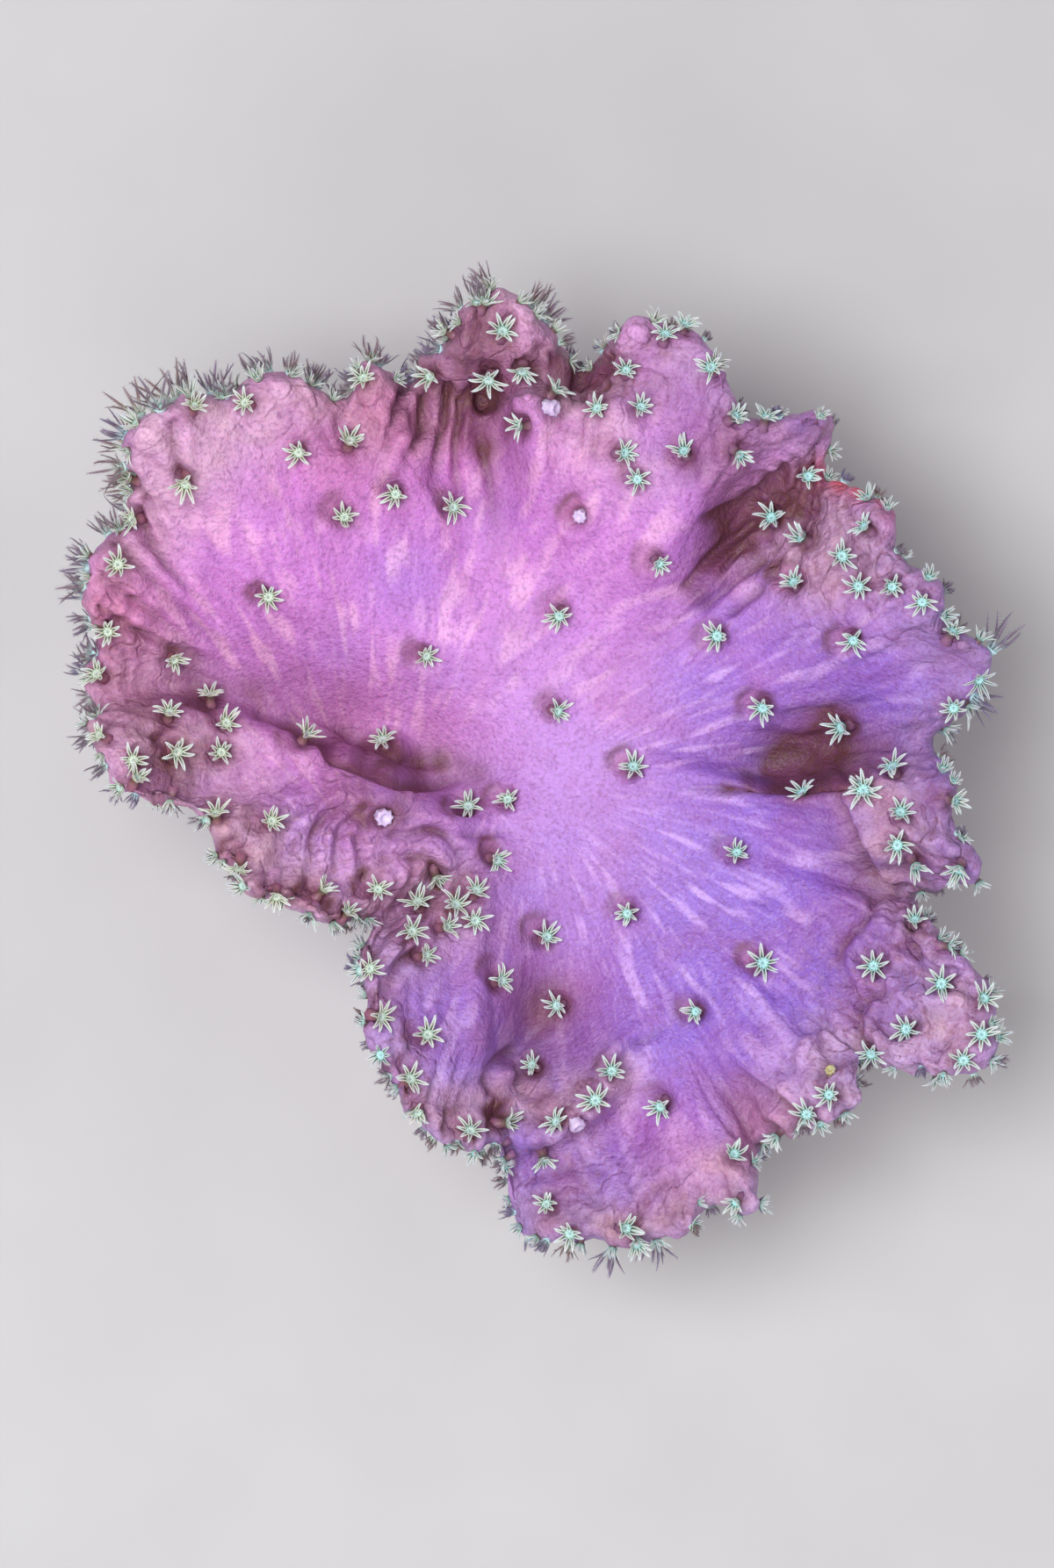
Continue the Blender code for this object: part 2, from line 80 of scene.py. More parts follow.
# The margin: (angle, radius, height of the skin there), one row for each lobe tip, notch and turn.
MARGIN = np.array([
    (0, 35.5, 37), (6, 34.8, 33), (10, 38.0, 35), (13.5, 40.2, 36), (18, 39.2, 38), (22, 37.7, 39),
    (28, 38.0, 40), (32, 36.5, 39), (38, 38.2, 38), (45, 36.6, 33), (51.5, 39.8, 36),
    (57, 37.5, 38), (61, 35.5, 38), (67, 39.6, 37), (72, 41.0, 36), (79, 39.8, 35), (84, 36.5, 30),
    (88, 38.5, 34), (94, 42.2, 37), (100, 40.0, 37), (106, 36.5, 31), (112, 38.3, 34),
    (117, 37.3, 33), (122, 41.5, 36), (128, 42.0, 36), (132, 44.0, 38), (136.5, 45.4, 40),
    (141, 44.5, 37), (145, 43.0, 35), (148, 41.5, 33), (152, 42.8, 35), (158, 42.0, 34),
    (162, 40.2, 32), (166, 39.8, 30), (170, 39.5, 32), (174.5, 37.5, 35), (178, 36.8, 36),
    (181.5, 35.5, 36), (184, 30.5, 36), (188, 28.3, 36), (196, 27.8, 36), (202, 25.5, 36),
    (208, 23.5, 35), (213, 22.0, 34), (218, 19.6, 31), (221, 18.8, 29), (225, 22.3, 32),
    (228.5, 22.6, 34), (232, 23.8, 35), (238, 26.5, 35), (246, 29.5, 35), (252, 31.3, 34),
    (260, 32.7, 33), (263.8, 31.5, 30), (267.5, 39.0, 27), (271, 40.2, 29), (276, 40.1, 30),
    (282, 41.5, 31), (288, 40.7, 32), (293, 39.8, 33), (297, 41.3, 34), (302, 37.0, 31),
    (306, 37.6, 34), (315, 38.5, 37), (318.5, 37.2, 34), (324, 42.0, 36), (327, 45.3, 38),
    (330.5, 45.0, 38), (335, 42.8, 36), (338.5, 38.6, 35), (343, 34.3, 30), (348, 38.3, 37),
    (351, 37.0, 38), (354.5, 36.1, 38),
])

# The margin's small scallops: (waves round the disc, how high they stand, phase).
SCALLOPS = [(29, 0.35, 0.6), (41, 0.35, 2.1), (53, 0.25, 4.4)]
SCALLOP_POWER = 9
SCALLOP_OUT = 0.6

PATH_STEPS = 9
PATH_BLUR = 1.3
SIDE_BLUR = 0.15
LIP_PLACE = 1.7
WALL_POWER = 2.5


def on_circle(angle, radius):
    """The place at this angle and distance from the axis."""
    turn = math.radians(angle)
    return radius * math.cos(turn), radius * math.sin(turn)


def through(knots, along):
    """A smooth curve through equally spaced knots: cubic, each slope the chord of its two neighbours."""
    slopes = np.gradient(knots, axis=0)
    first = np.clip(along.astype(int), 0, len(knots) - 2)
    t = (along - first)[:, None]
    start, end = knots[first], knots[first + 1]
    rise = (2 * t ** 3 - 3 * t ** 2 + 1) * start + (3 * t ** 2 - 2 * t ** 3) * end
    return rise + (t ** 3 - 2 * t ** 2 + t) * slopes[first] + (t ** 3 - t ** 2) * slopes[first + 1]


def around(angle, column):
    """The margin's radius (column 1) or height (column 2) at each angle: a smooth loop of its rows."""
    rows = np.vstack([MARGIN[-2:] - [360, 0, 0], MARGIN, MARGIN[:3] + [360, 0, 0]])
    at, value = rows[:, 0], rows[:, column]
    slope = np.zeros(len(rows))
    slope[1:-1] = (value[2:] - value[:-2]) / (at[2:] - at[:-2])
    turn = np.mod(angle, 360)
    first = np.searchsorted(at, turn, side="right") - 1
    step = at[first + 1] - at[first]
    t = (turn - at[first]) / step
    rise = (2 * t ** 3 - 3 * t ** 2 + 1) * value[first] + (3 * t ** 2 - 2 * t ** 3) * value[first + 1]
    return rise + step * ((t ** 3 - 2 * t ** 2 + t) * slope[first] + (t ** 3 - t ** 2) * slope[first + 1])


class Fold:
    """A valley, or with a negative depth a ridge, along a smooth path of (angle, radius) points.

    depth is given at each point of the path. left and right are the half-widths on the two sides as
    one travels along it. lip_left and lip_right raise a rounded lip just outside each wall, and lean
    moves the lips over the valley. stain is how dark the brown painted shade on its floor is,
    and blur how far along the path its form is evened out.
    """

    def __init__(self, path, depth, left, right, lip_left=0.0, lip_right=0.0, lean=0.0, stain=1.0,
                 blur=PATH_BLUR):
        knots = np.array([on_circle(angle, radius) for angle, radius in path])
        along = np.linspace(0, len(path) - 1, PATH_STEPS * (len(path) - 1) + 1)
        self.points = through(knots, along)
        ahead = np.gradient(self.points, axis=0)
        self.side = np.column_stack([-ahead[:, 1], ahead[:, 0]]) / np.linalg.norm(ahead, axis=1)[:, None]
        self.depth = through(np.array(depth, float)[:, None], along)[:, 0]
        self.most = abs(self.depth).max()
        self.left, self.right = left, right
        self.lip_left, self.lip_right = lip_left, lip_right
        self.lean, self.stain, self.blur = lean, stain, blur

    def near(self, xy):
        """The numbers of the places that the fold can reach: those in a box round its path."""
        reach = 4 * (self.left + self.right)
        inside = (xy > self.points.min(axis=0) - reach) & (xy < self.points.max(axis=0) + reach)
        return np.flatnonzero(inside.all(axis=1))

    def measure(self, xy):
        """At each place: distance from the path, distance to its left, depth and side of the path there.

        Each is a mean over the path's points, weighted to the nearest ones, so it changes smoothly.
        """
        gaps = xy[:, None, :] - self.points[None, :, :]
        squares = (gaps ** 2).sum(axis=2)
        weights = np.exp((squares.min(axis=1)[:, None] - squares) / self.blur ** 2)
        weights /= weights.sum(axis=1)[:, None]
        leftward = (weights * (gaps * self.side).sum(axis=2)).sum(axis=1)
        away = np.sqrt((weights * squares).sum(axis=1))
        return away, leftward, weights @ self.depth, weights @ self.side


FOLDS = [
    # The left valley, whose floor runs in from the left margin to the middle under a rolled lip.
    Fold([(222, 5), (178, 8.5), (168.5, 16), (164.5, 24), (164, 31), (168, 38)],
         [0, 4.4, 6.2, 5.4, 4.6, 2], left=2.0, right=6.8, lip_left=1.9, lean=1.4, stain=0.3),
    # The right valley, and the upper right one behind it.
    Fold([(25, 10), (8, 16), (2, 21), (3, 26), (6, 31), (7, 36)], [0, 2.8, 5.6, 5.4, 2.2, 0.3],
         left=5.4, right=1.8, lip_right=2.0, lean=1.5, stain=0.35),
    Fold([(60, 10), (54, 17), (51.5, 23), (51.5, 29), (48, 34), (45, 38)], [0, 0.6, 2.0, 6.0, 2.6, 0.5],
         left=3.2, right=5.5, lip_left=1.0, lean=0.6, stain=1.1),
    # The top valley, and the recess that it opens into behind the front bulge.
    Fold([(100, 15), (98, 22), (97, 28), (99, 33), (104, 38)], [0, 2, 5, 7.0, 3],
         left=5.0, right=2.8, lip_right=1.6, lean=1.1, stain=0.65),
    Fold([(97, 34), (90, 35), (84, 35), (78, 35.5)], [4, 4.5, 4, 1],
         left=2.2, right=1.8, lip_right=1.4, lean=1.0, stain=0.7),
    # The seam between the left lobe and the lower left one.
    Fold([(221, 21), (225, 14), (234, 9.5), (250, 6.5)], [3, 1.9, 1.0, 0],
         left=1.6, right=1.6, lip_left=1.4, lip_right=1.4, lean=0.8, stain=0.0),
    # The lower valley, and the step down to the bottom lobe.
    Fold([(272, 9), (276, 14), (273, 19.5), (266, 25), (260, 30)], [0, 1.5, 3.6, 4.2, 1.5],
         left=5.0, right=3.2, lip_right=1.6, lean=0.8, stain=0.8),
    Fold([(264, 35), (270, 33), (278, 31.5), (286, 29), (292, 25)], [2, 3.2, 3.2, 2.6, 0],
         left=1.8, right=4.5, lip_left=1.8, lean=1.0, stain=0.3),
    # Creases that run in from the notches of the right-hand margin.
    Fold([(296, 27), (303, 33), (302, 38)], [0, 2.5, 2], left=1.8, right=2.2, lip_left=0.8, lean=0.4),
    Fold([(346, 25), (343.5, 30), (343, 35)], [0, 2.4, 3], left=2.2, right=1.8, lip_left=1.0, lean=0.5),
    Fold([(28, 30), (33, 33), (32, 37)], [0, 2, 2.5], left=1.8, right=2.0, lip_left=0.8, lean=0.4),
    # Bulges and banks, which stand up between the valleys.
    Fold([(66, 22), (76, 27), (88, 30)], [-2.5, -3.6, -2.8], left=6.0, right=6.0),
    Fold([(37, 28), (27, 32), (18, 33)], [-1.5, -2.5, -1.0], left=5.0, right=4.0),
    Fold([(2, 31), (357, 27), (350, 28.5), (344, 31)], [-1, -2.2, -1.8, -0.8], left=4.0, right=2.4),
    Fold([(206, 9), (193, 15), (189, 24)], [-1.5, -3.5, -2.5], left=4.5, right=3.0),
    Fold([(172, 13.6), (168, 12.8)], [-3.0, -3.0], left=1.7, right=1.7),
    Fold([(236, 13), (240, 20), (247, 26)], [-1.0, -2.6, -2.0], left=4.5, right=3.5),
    Fold([(258, 30), (270, 27.5), (283, 25.5)], [-1.0, -2.5, -1.5], left=3.0, right=2.5),
]


def relief(xy, soften=0.0, lips=True, folds=FOLDS):
    """What the folds add to the height at each place, and how far their lips lean sideways.

    A fold is a bell curve of the distance from its path, and its lips are two more bells beside it.
    """
    height = np.zeros(len(xy))
    shift = np.zeros((len(xy), 2))
    for fold in folds:
        near = fold.near(xy)
        away, leftward, depth, side = fold.measure(xy[near])
        blend = 0.5 + 0.5 * np.tanh(leftward / (SIDE_BLUR * (fold.left + fold.right)))
        half = fold.right + (fold.left - fold.right) * blend + soften
        height[near] -= depth * np.exp(-(away / half) ** (WALL_POWER if lips else 2))
        if not lips:
            continue
        share = depth / fold.most
        for lip, sign, width in ((fold.lip_left, 1, fold.left), (fold.lip_right, -1, fold.right)):
            bump = share * np.exp(-((leftward * sign - LIP_PLACE * width) / width) ** 2)
            height[near] += lip * bump
            if lip > 0:
                shift[near] -= (sign * fold.lean * bump)[:, None] * side
    return height, shift


def bowl(angle, share):
    """The bowl under the folds: an even climb to the rim, with the margin's ruffles growing towards it.

    Near the middle the climb follows the distance from the axis, and at the margin the share of the way.
    """
    reach = around(angle, 1) - EDGE_ROUND
    turn = np.radians(angle)
    level = share ** 3 + (1 - share ** 2) * reach * share / MEAN_RADIUS
    climb = 0.25 * level + 0.75 * level ** BOWL_POWER
    ruffle = (around(angle, 2) - RIM_HEIGHT) * share ** RUFFLE_POWER
    scallop = sum(size * np.sin(waves * turn + phase) for waves, size, phase in SCALLOPS)
    scallop = scallop * share ** SCALLOP_POWER
    height = BOWL_HEIGHT + (RIM_HEIGHT - BOWL_HEIGHT) * climb + ruffle + scallop
    radius = reach * share + SCALLOP_OUT * scallop
    xy = np.stack([np.cos(turn), np.sin(turn)], axis=1) * radius[:, None]
    return xy, height


def skin(angle, share):
    """Points of the upper skin: the bowl with its folds, and the lips leaning over them."""
    xy, height = bowl(angle, share)
    lift, shift = relief(xy)
    fade = 1 - FOLD_FADE * share ** FADE_POWER
    return np.column_stack([xy + shift * fade[:, None], height + lift * fade])


# --------------------------------------------------------------------------------------------------------
# The underside and the stalk. Below, the same sheet shows its smooth back, which draws in to a short
# furrowed stalk. The stalk was cut through, level and clean, and the colony stands on the cut.
# --------------------------------------------------------------------------------------------------------
FOOT_RADIUS = 16.5
WAIST_RADIUS = 12.8
WAIST_SHARE = 0.45
NECK_RADIUS = 15.5
NECK_MOST = 0.72
STALK_FURROWS = 7
STALK_FURROW_DEPTH = 0.6


def neck(angle):
    """The stalk's radius where it meets the disc."""
    return np.minimum(NECK_RADIUS, NECK_MOST * (around(angle, 1) - EDGE_ROUND))


def belly(angle, way):
    """Points of the underside, from neck (0) to margin (1): the skin's form, softer and a flesh down."""
    reach = around(angle, 1) - EDGE_ROUND
    share = (neck(angle) + (reach - neck(angle)) * way) / reach
    xy, height = bowl(angle, share)
    lift, _ = relief(xy, soften=BELLY_SOFTENING, lips=False)
    flesh = FLESH_MARGIN + (FLESH_MIDDLE - FLESH_MARGIN) * (1 - way)
    fade = 1 - FOLD_FADE * share ** FADE_POWER
    return np.column_stack([xy, height + BELLY_RELIEF * lift * fade - flesh])


def edge(angle, roll):
    """Points of the rounded edge: half an ellipse from the skin (roll 0) round to the belly (1)."""
    turn = np.radians(angle)
    whole = np.ones(len(turn))
    over, under = skin(angle, whole), belly(angle, whole)
    out = np.stack([np.cos(turn), np.sin(turn), np.zeros(len(turn))], axis=1)
    swing = np.pi * roll[:, None]
    return (over + under) / 2 + np.cos(swing) * (over - under) / 2 + np.sin(swing) * EDGE_ROUND * out


def stalk(angle, rise):
    """Points of the stalk at a share of its height: it widens by a square above and below its waist."""
    up = np.clip((rise - WAIST_SHARE) / (1 - WAIST_SHARE), 0, 1)
    down = np.clip(1 - rise / WAIST_SHARE, 0, 1)
    radius = WAIST_RADIUS + (neck(angle) - WAIST_RADIUS) * up ** 2
    radius = radius + (FOOT_RADIUS - WAIST_RADIUS) * down ** 2
    turn = np.radians(angle)
    radius = radius + STALK_FURROW_DEPTH * np.cos(STALK_FURROWS * turn) * (1 - up)
    height = belly(angle, np.zeros(len(turn)))[:, 2] * rise
    return np.column_stack([radius * np.cos(turn), radius * np.sin(turn), height])


# --------------------------------------------------------------------------------------------------------
# The skin's grid. The whole outside is one sheet of rows and columns: the rows run from the middle
# of the bowl over the edge, back under the disc, down the stalk and in over the cut, and the columns
# stand evenly along the margin, where the sheet is longest.
# --------------------------------------------------------------------------------------------------------
COLUMNS = 780
SKIN_ROWS, EDGE_ROWS, BELLY_ROWS, STALK_ROWS = 98, 9, 24, 14
FIRST_SHARE = 0.012
MARGIN_CROWDING = 0.9
CUT_SHARES = (0.6, 0.2)
FINE_STEP = 0.125


def even_angles(count):
    """Angles of columns that stand evenly along the edge, found from the edge's running length."""
    fine = np.arange(0, 360, FINE_STEP)
    line = edge(fine, np.full(len(fine), 0.5))
    steps = np.linalg.norm(np.diff(line, axis=0, append=line[:1]), axis=1)
    along = np.concatenate([[0], np.cumsum(steps)])
    return np.interp(np.arange(count) * along[-1] / count, along, np.append(fine, 360.0))


def rows_of(surface, shares, angles):
    """One row of points round the colony for each share, as an array of rows, columns and coordinates."""
    points = surface(np.tile(angles, len(shares)), np.repeat(shares, len(angles)))
    return points.reshape(len(shares), len(angles), 3)


def normals_of(grid):
    """The outward direction at each point of a grid: the slope down it crossed with that round it."""
    down = np.gradient(grid, axis=0)
    round_ = np.roll(grid, -1, axis=1) - np.roll(grid, 1, axis=1)
    normal = np.cross(down, round_)
    return normal / np.linalg.norm(normal, axis=2, keepdims=True)


angles = even_angles(COLUMNS)
skin_shares = FIRST_SHARE + (1 - FIRST_SHARE) * np.linspace(0, 1, SKIN_ROWS) ** MARGIN_CROWDING
edge_rolls = np.linspace(0, 1, EDGE_ROWS + 2)[1:-1]
belly_ways = np.linspace(1, 0, BELLY_ROWS)
stalk_rises = np.linspace(1, 0, STALK_ROWS + 1)[1:]
foot = rows_of(stalk, np.zeros(1), angles)
grid = np.concatenate([
    rows_of(skin, skin_shares, angles),
    rows_of(edge, edge_rolls, angles),
    rows_of(belly, belly_ways, angles),
    rows_of(stalk, stalk_rises, angles),
    *[foot * share for share in CUT_SHARES],
])
row_count = len(grid)
top_rows = SKIN_ROWS + EDGE_ROWS // 2
plain_normals = normals_of(grid)

# How far out each row is: 0 in the middle of the bowl, 1 at the margin, and back to 0 at the neck.
outness = np.concatenate([
    skin_shares, np.ones(EDGE_ROWS), belly_ways, np.zeros(STALK_ROWS), np.zeros(len(CUT_SHARES))])
outness = np.repeat(outness[:, None], COLUMNS, axis=1)
# How far over each row is: 0 on the skin, 1 on the underside, with the turn on the edge.
overness = np.concatenate([np.zeros(SKIN_ROWS), edge_rolls, np.ones(row_count - SKIN_ROWS - EDGE_ROWS)])
overness = np.repeat(overness[:, None], COLUMNS, axis=1)

# --------------------------------------------------------------------------------------------------------
# The polyps' places. Each polyp grows out of its own small pit in the skin, so the places come before the
# fine surface. They are (angle, radius) seen from above, grouped by the part of the disc.
# --------------------------------------------------------------------------------------------------------
OPEN_POLYPS = {
    "middle": [(7, 8.3), (75, 6.1), (82, 14.6), (132, 14.3), (305, 13.9), (274, 13.9), (17, 20.5),
               (39, 20.2), (340.5, 18.3), (321, 24.7), (304.5, 24), (60, 21.2)],
    "upper left": [(106, 24.8), (116, 27), (126, 27.8), (125.5, 34.7), (118.5, 33), (147, 27.6),
                   (139.5, 38.8), (132.5, 42.5), (127.5, 40), (144, 43.4), (153, 39.7), (147.5, 41)],
    "left": [(162, 32.8), (162.5, 39), (168, 20.2), (164.5, 29), (168.5, 26.8), (169.5, 32),
             (166.5, 38.5), (164, 13.8), (173, 37), (175, 30.7), (175.5, 26.7), (177, 33.7),
             (180, 34)],
    "left lobe": [(185.5, 27), (189, 22.5), (195, 6), (196.5, 26), (205, 24), (207, 20.3),
                  (214.5, 16), (216.5, 19)],
    "seam": [(225.5, 12), (227.5, 21.4), (230, 16.2), (236, 12.5), (237, 23.8), (239, 17.4),
             (242, 11), (243, 7.5), (239.5, 14.6), (246, 13.2), (224, 14.6), (208, 3)],
    "lower left": [(247, 23.3), (248, 27.2), (251, 30), (259, 30.3), (261, 17.3), (266, 29.4),
                   (269, 24.3)],
    "bottom": [(271, 32.7), (271, 36.3), (273.5, 29.2), (276, 19.6), (280.5, 39.2), (281, 28.3),
               (287, 26), (291, 29.5), (295, 39.6), (274, 39.4), (282.5, 41.5)],
    "lower right": [(298.5, 36), (304, 37), (308.5, 36.3), (313, 36.5), (320.5, 36.5),
                    (326.5, 37.7), (327, 43), (331.5, 33), (333.5, 38.5), (334, 42), (338.5, 37.2),
                    (330.5, 43)],
    "right": [(340.8, 34.5), (346.5, 32.5), (348, 36.5), (349.5, 30.7), (354.5, 31), (357.5, 35.5),
              (358, 27.8), (3.5, 30.3), (0, 27.9), (10.5, 35.4), (9.5, 27), (359, 22.2)],
    "upper right": [(23.5, 29), (38, 27.5), (24.5, 35.5), (20, 37.2), (29, 34), (32, 31.7),
                    (37, 31.8), (37.5, 35), (42.5, 31), (48, 30.3), (48, 34.6), (58, 32.3),
                    (62, 34.8), (58, 37)],
    "top right": [(66, 30.5), (71, 27), (75.5, 28.8), (74, 33.2), (81.3, 32.2), (78, 35.5),
                  (74, 39.2), (67.5, 37.6), (72.5, 41.3)],
    "top": [(86.5, 33.8), (91.5, 35), (93.5, 29.7), (94, 37.8), (97.5, 34.3), (96, 41), (102, 39),
            (105, 35.5), (114, 37)],
}
CLOSED_POLYPS = [(81, 22.6), (194.5, 13.2), (277.5, 30.7), (86, 31.8), (315.5, 35)]
CROWN_RISE = 0.75
NEARER_BY_HEIGHT = 0.15


def find_on_skin(places, rise):
    """For each (angle, radius), the row and column of the skin whose crown would stand there from above.

    It is the point that, carried out along its normal by the crown's rise, comes nearest in plan. A
    point further up counts as a little nearer, so that a lip is chosen over the floor that it hides.
    """
    tops = (grid + plain_normals * rise)[:top_rows]
    flat = tops.reshape(-1, 3)
    found = []
    for angle, radius in places:
        gap = np.linalg.norm(flat[:, :2] - on_circle(angle, radius), axis=1)
        gap = gap - NEARER_BY_HEIGHT * flat[:, 2]
        found.append(np.unravel_index(int(gap.argmin()), tops.shape[:2]))
    return np.array(found).T


open_places = list(itertools.chain(*OPEN_POLYPS.values()))
open_rows, open_columns = find_on_skin(open_places, CROWN_RISE)
closed_rows, closed_columns = find_on_skin(CLOSED_POLYPS, CROWN_RISE)

# --------------------------------------------------------------------------------------------------------
# The fine surface. The skin is drawn up in lumps and creases towards the margin, dented round each polyp,
# and raised a little in pale streaks where bundles of lime needles lie under it.
# --------------------------------------------------------------------------------------------------------
LATTICE_KEYS = np.array([73856093, 19349663, 83492791])
SEED_KEY = 668265263
SCRAMBLER = 1274126177
WORD = 0xFFFFFFFF
HALF_WORD = 0xFFFF

LUMP_SIZE, SMALL_LUMP_SIZE, SWELL_SIZE = 1.9, 0.95, 7.0
LUMP_HEIGHT, MARGIN_LUMP_HEIGHT, SWELL_HEIGHT = 0.06, 0.26, 0.30
FOLD_HEIGHT, LINE_DEPTH = 0.24, 0.38
PIT_RADIUS, PIT_DEPTH = 0.95, 0.35
COLLAR_RADIUS, COLLAR_WIDTH, COLLAR_HEIGHT = 1.4, 0.5, 0.16
HOLLOW_DEPTH, BROW_SHADE_WIDTH = 0.58, 0.42
CUP_WIDTH = 0.6
STALK_LUMP_HEIGHT, STALK_GROOVE_HEIGHT, STALK_RING_HEIGHT, RIB_HEIGHT = 0.20, 0.50, 0.28, 0.40
CONTOUR_SIZE, CONTOUR_WAVER, CONTOUR_SPACING = 6.5, 3.0, 0.42


def grain(points, size, seed):
    """Smooth noise from -1 to 1 in lumps of a size: numbers at the corners of a lattice, blended."""
    scaled = points / size
    low = np.floor(scaled).astype(np.int64)
    t = scaled - low
    t = t * t * (3 - 2 * t)
    total = np.zeros(points.shape[:-1])
    for corner in itertools.product((0, 1), repeat=3):
        key = ((low + corner) * LATTICE_KEYS).sum(axis=-1) + seed * SEED_KEY
        key = ((key ^ (key >> 13)) * SCRAMBLER) & WORD
        value = ((key ^ (key >> 16)) & HALF_WORD) / (HALF_WORD / 2) - 1
        total += value * np.prod(np.where(corner, t, 1 - t), axis=-1)
    return total


def smooth_step(value, low, high):
    """0 below low, 1 above high, and an even S between."""
    t = np.clip((value - low) / (high - low), 0, 1)
    return t * t * (3 - 2 * t)


def crease(path, depth, left=0.55, right=0.5, **lips):
    """A thin crease: a narrow fold, deeper than it is told by half, that keeps close to its path."""
    return Fold(path, 1.5 * np.array(depth), left, right, blur=0.6, **lips)


CREASES = [
    # Arcs round the hollow of the left lobe, and the wavy ones that run on from it to the seam.
    crease([(200, 20.6), (192, 19.1), (188, 17.3), (188.5, 14.9)], [0.4, 1.0, 1.0, 0.3],
           lip_left=0.5, lip_right=0.3),
    crease([(203, 18.6), (195, 17.4), (191, 15.8)], [0.4, 1.0, 0.4], lip_left=0.4),
    crease([(208.5, 16.8), (198, 16.1)], [0.5, 0.8], lip_left=0.3),
    crease([(197, 23), (190, 21.8), (186, 19.5)], [0.3, 0.7, 0.3], lip_left=0.3),
    crease([(201, 13.1), (208, 9.5), (226, 9.1)], [0.4, 0.8, 0.3], lip_left=0.4),
    crease([(197.5, 11.5), (216, 7.9), (238, 5.2)], [0.4, 0.7, 0.2], lip_left=0.4),
    crease([(207, 14.5), (216, 11.5), (228, 12.5)], [0.3, 0.7, 0.3], lip_left=0.4),
    # Folds that fan in from the left corner and the left margin.
    crease([(143.8, 41.2), (144.6, 38.5), (145.1, 36)], [0.7, 0.7, 0.3], left=0.35, right=0.35),
    crease([(143.8, 41.2), (145.9, 38.5), (148, 35.6)], [0.9, 0.7, 0.3], left=0.35, right=0.35),
    crease([(143, 43), (146, 39), (149.5, 35)], [1.0, 0.9, 0.2], lip_left=0.5),
    crease([(135, 43), (138, 41), (143, 37)], [0.9, 0.8, 0.2], lip_left=0.4),
    crease([(146, 41), (149, 37.5), (153, 31)], [1.0, 0.9, 0.2], lip_left=0.5),
    crease([(150, 41.5), (153, 36), (157.5, 29)], [0.9, 0.8, 0.2], lip_left=0.4),
    crease([(155, 41), (157, 35), (160, 31)], [0.8, 0.8, 0.2], lip_left=0.4),
    crease([(158.5, 40), (160, 35), (160, 29)], [0.9, 0.8, 0.2], lip_left=0.4),
    # The gathered left wall of the top valley.
    crease([(108.3, 36.0), (114, 31.3)], [1.2, 0.4], lip_left=0.4, lip_right=0.4),
    crease([(106.3, 35.6), (107.4, 32.1), (112.8, 29.3)], [1.3, 1.2, 0.3], lip_left=0.5),
    crease([(102.5, 34.8), (105.8, 30.5), (109, 27)], [1.2, 1.1, 0.3], lip_left=0.5),
    crease([(101.4, 33.4), (103.9, 29.4), (105, 25)], [1.1, 1.0, 0.3], lip_left=0.4),
    crease([(99.5, 32), (99.3, 29), (99, 26), (99.5, 22)], [0, 0.6, 0.5, 0]),
    # The sharp line where the left valley's floor runs in under its lip.
    crease([(166.3, 24.9), (167.8, 21.7), (169.8, 19.1), (174.4, 17.3), (176.5, 14.6), (180, 12.8),
            (182, 10), (179, 7)], [0.5, 0.9, 1.1, 1.2, 1.2, 1.2, 1.0, 0.3], lip_left=0.5),
    # The sharp lower line of the right valley.
    crease([(357, 13.7), (357.5, 17), (358, 20.5), (358.5, 24), (359, 26.3)], [0.3, 0.9, 1.3, 1.4, 0.6],
           lip_right=0.5),
    # Creases beside the upper right valley.
    crease([(52.4, 21.3), (51.6, 25.7), (49.5, 29.3)], [0.5, 1.0, 0.7], lip_right=0.6),
    crease([(50.2, 20.5), (46.4, 25.5), (48.2, 29)], [-0.3, -0.8, -0.4], left=0.8, right=0.8),
    crease([(45.8, 21.2), (45, 24.9), (44, 27.5)], [0.5, 1.0, 0.6], lip_right=0.4),
    crease([(40.3, 22.5), (40.5, 25.5)], [0.6, 0.6], lip_right=0.3),
    crease([(57, 27), (53, 31), (51, 34)], [0.4, 1.0, 0.9], lip_left=0.4),
    # The inner line of the right lobe, and wrinkles on the floor of the valley above it.
    crease([(357.5, 25.5), (350, 27.5), (343.8, 30.4)], [0.7, 1.0, 0.5], lip_left=0.5),
    crease([(12, 20), (9, 24), (9, 28)], [0.2, 0.35, 0.2], lip_left=0.2),
    crease([(16, 21), (14, 25), (13, 29)], [0.2, 0.3, 0.2], lip_left=0.2),
    # The frill of the lower right: curved folds between its cups.
    crease([(307, 38), (307.5, 35), (304, 31)], [1.0, 0.9, 0.2], lip_left=0.5),
    crease([(341, 31), (336, 30.5), (331, 30), (327, 32)], [0.3, 1.0, 1.0, 0.3], lip_left=0.5),
    crease([(341, 34.5), (337, 34.5), (335, 37), (336, 40)], [0.4, 1.0, 1.0, 0.4],
           lip_left=0.4, lip_right=0.4),
    crease([(329, 35.5), (327, 34), (323, 34.5), (320, 38)], [0.4, 1.0, 1.0, 0.4], lip_left=0.4),
    # The lower left plate's fold, the ridge beside it, and the folds of the bottom lobe.
    crease([(234, 21.5), (234, 19), (236.5, 17.3)], [0.4, 1.0, 0.4], lip_left=0.4),
    crease([(241, 10.2), (251, 17), (258, 25)], [-0.3, -0.9, -0.5], left=1.4, right=1.0),
    crease([(265, 23.5), (260, 25.5), (264, 28)], [0.5, 1.0, 0.5], lip_left=0.6),
    crease([(263, 28.5), (269, 29.3), (276, 29.6)], [0.5, 1.0, 0.4], lip_left=0.5),
    crease([(284, 26.5), (290, 24.5), (297, 24)], [0.4, 0.8, 0.2], lip_left=0.4),
    crease([(282, 39.5), (286, 36.5), (292, 36)], [0.7, 0.7, 0.2], lip_left=0.3),
]

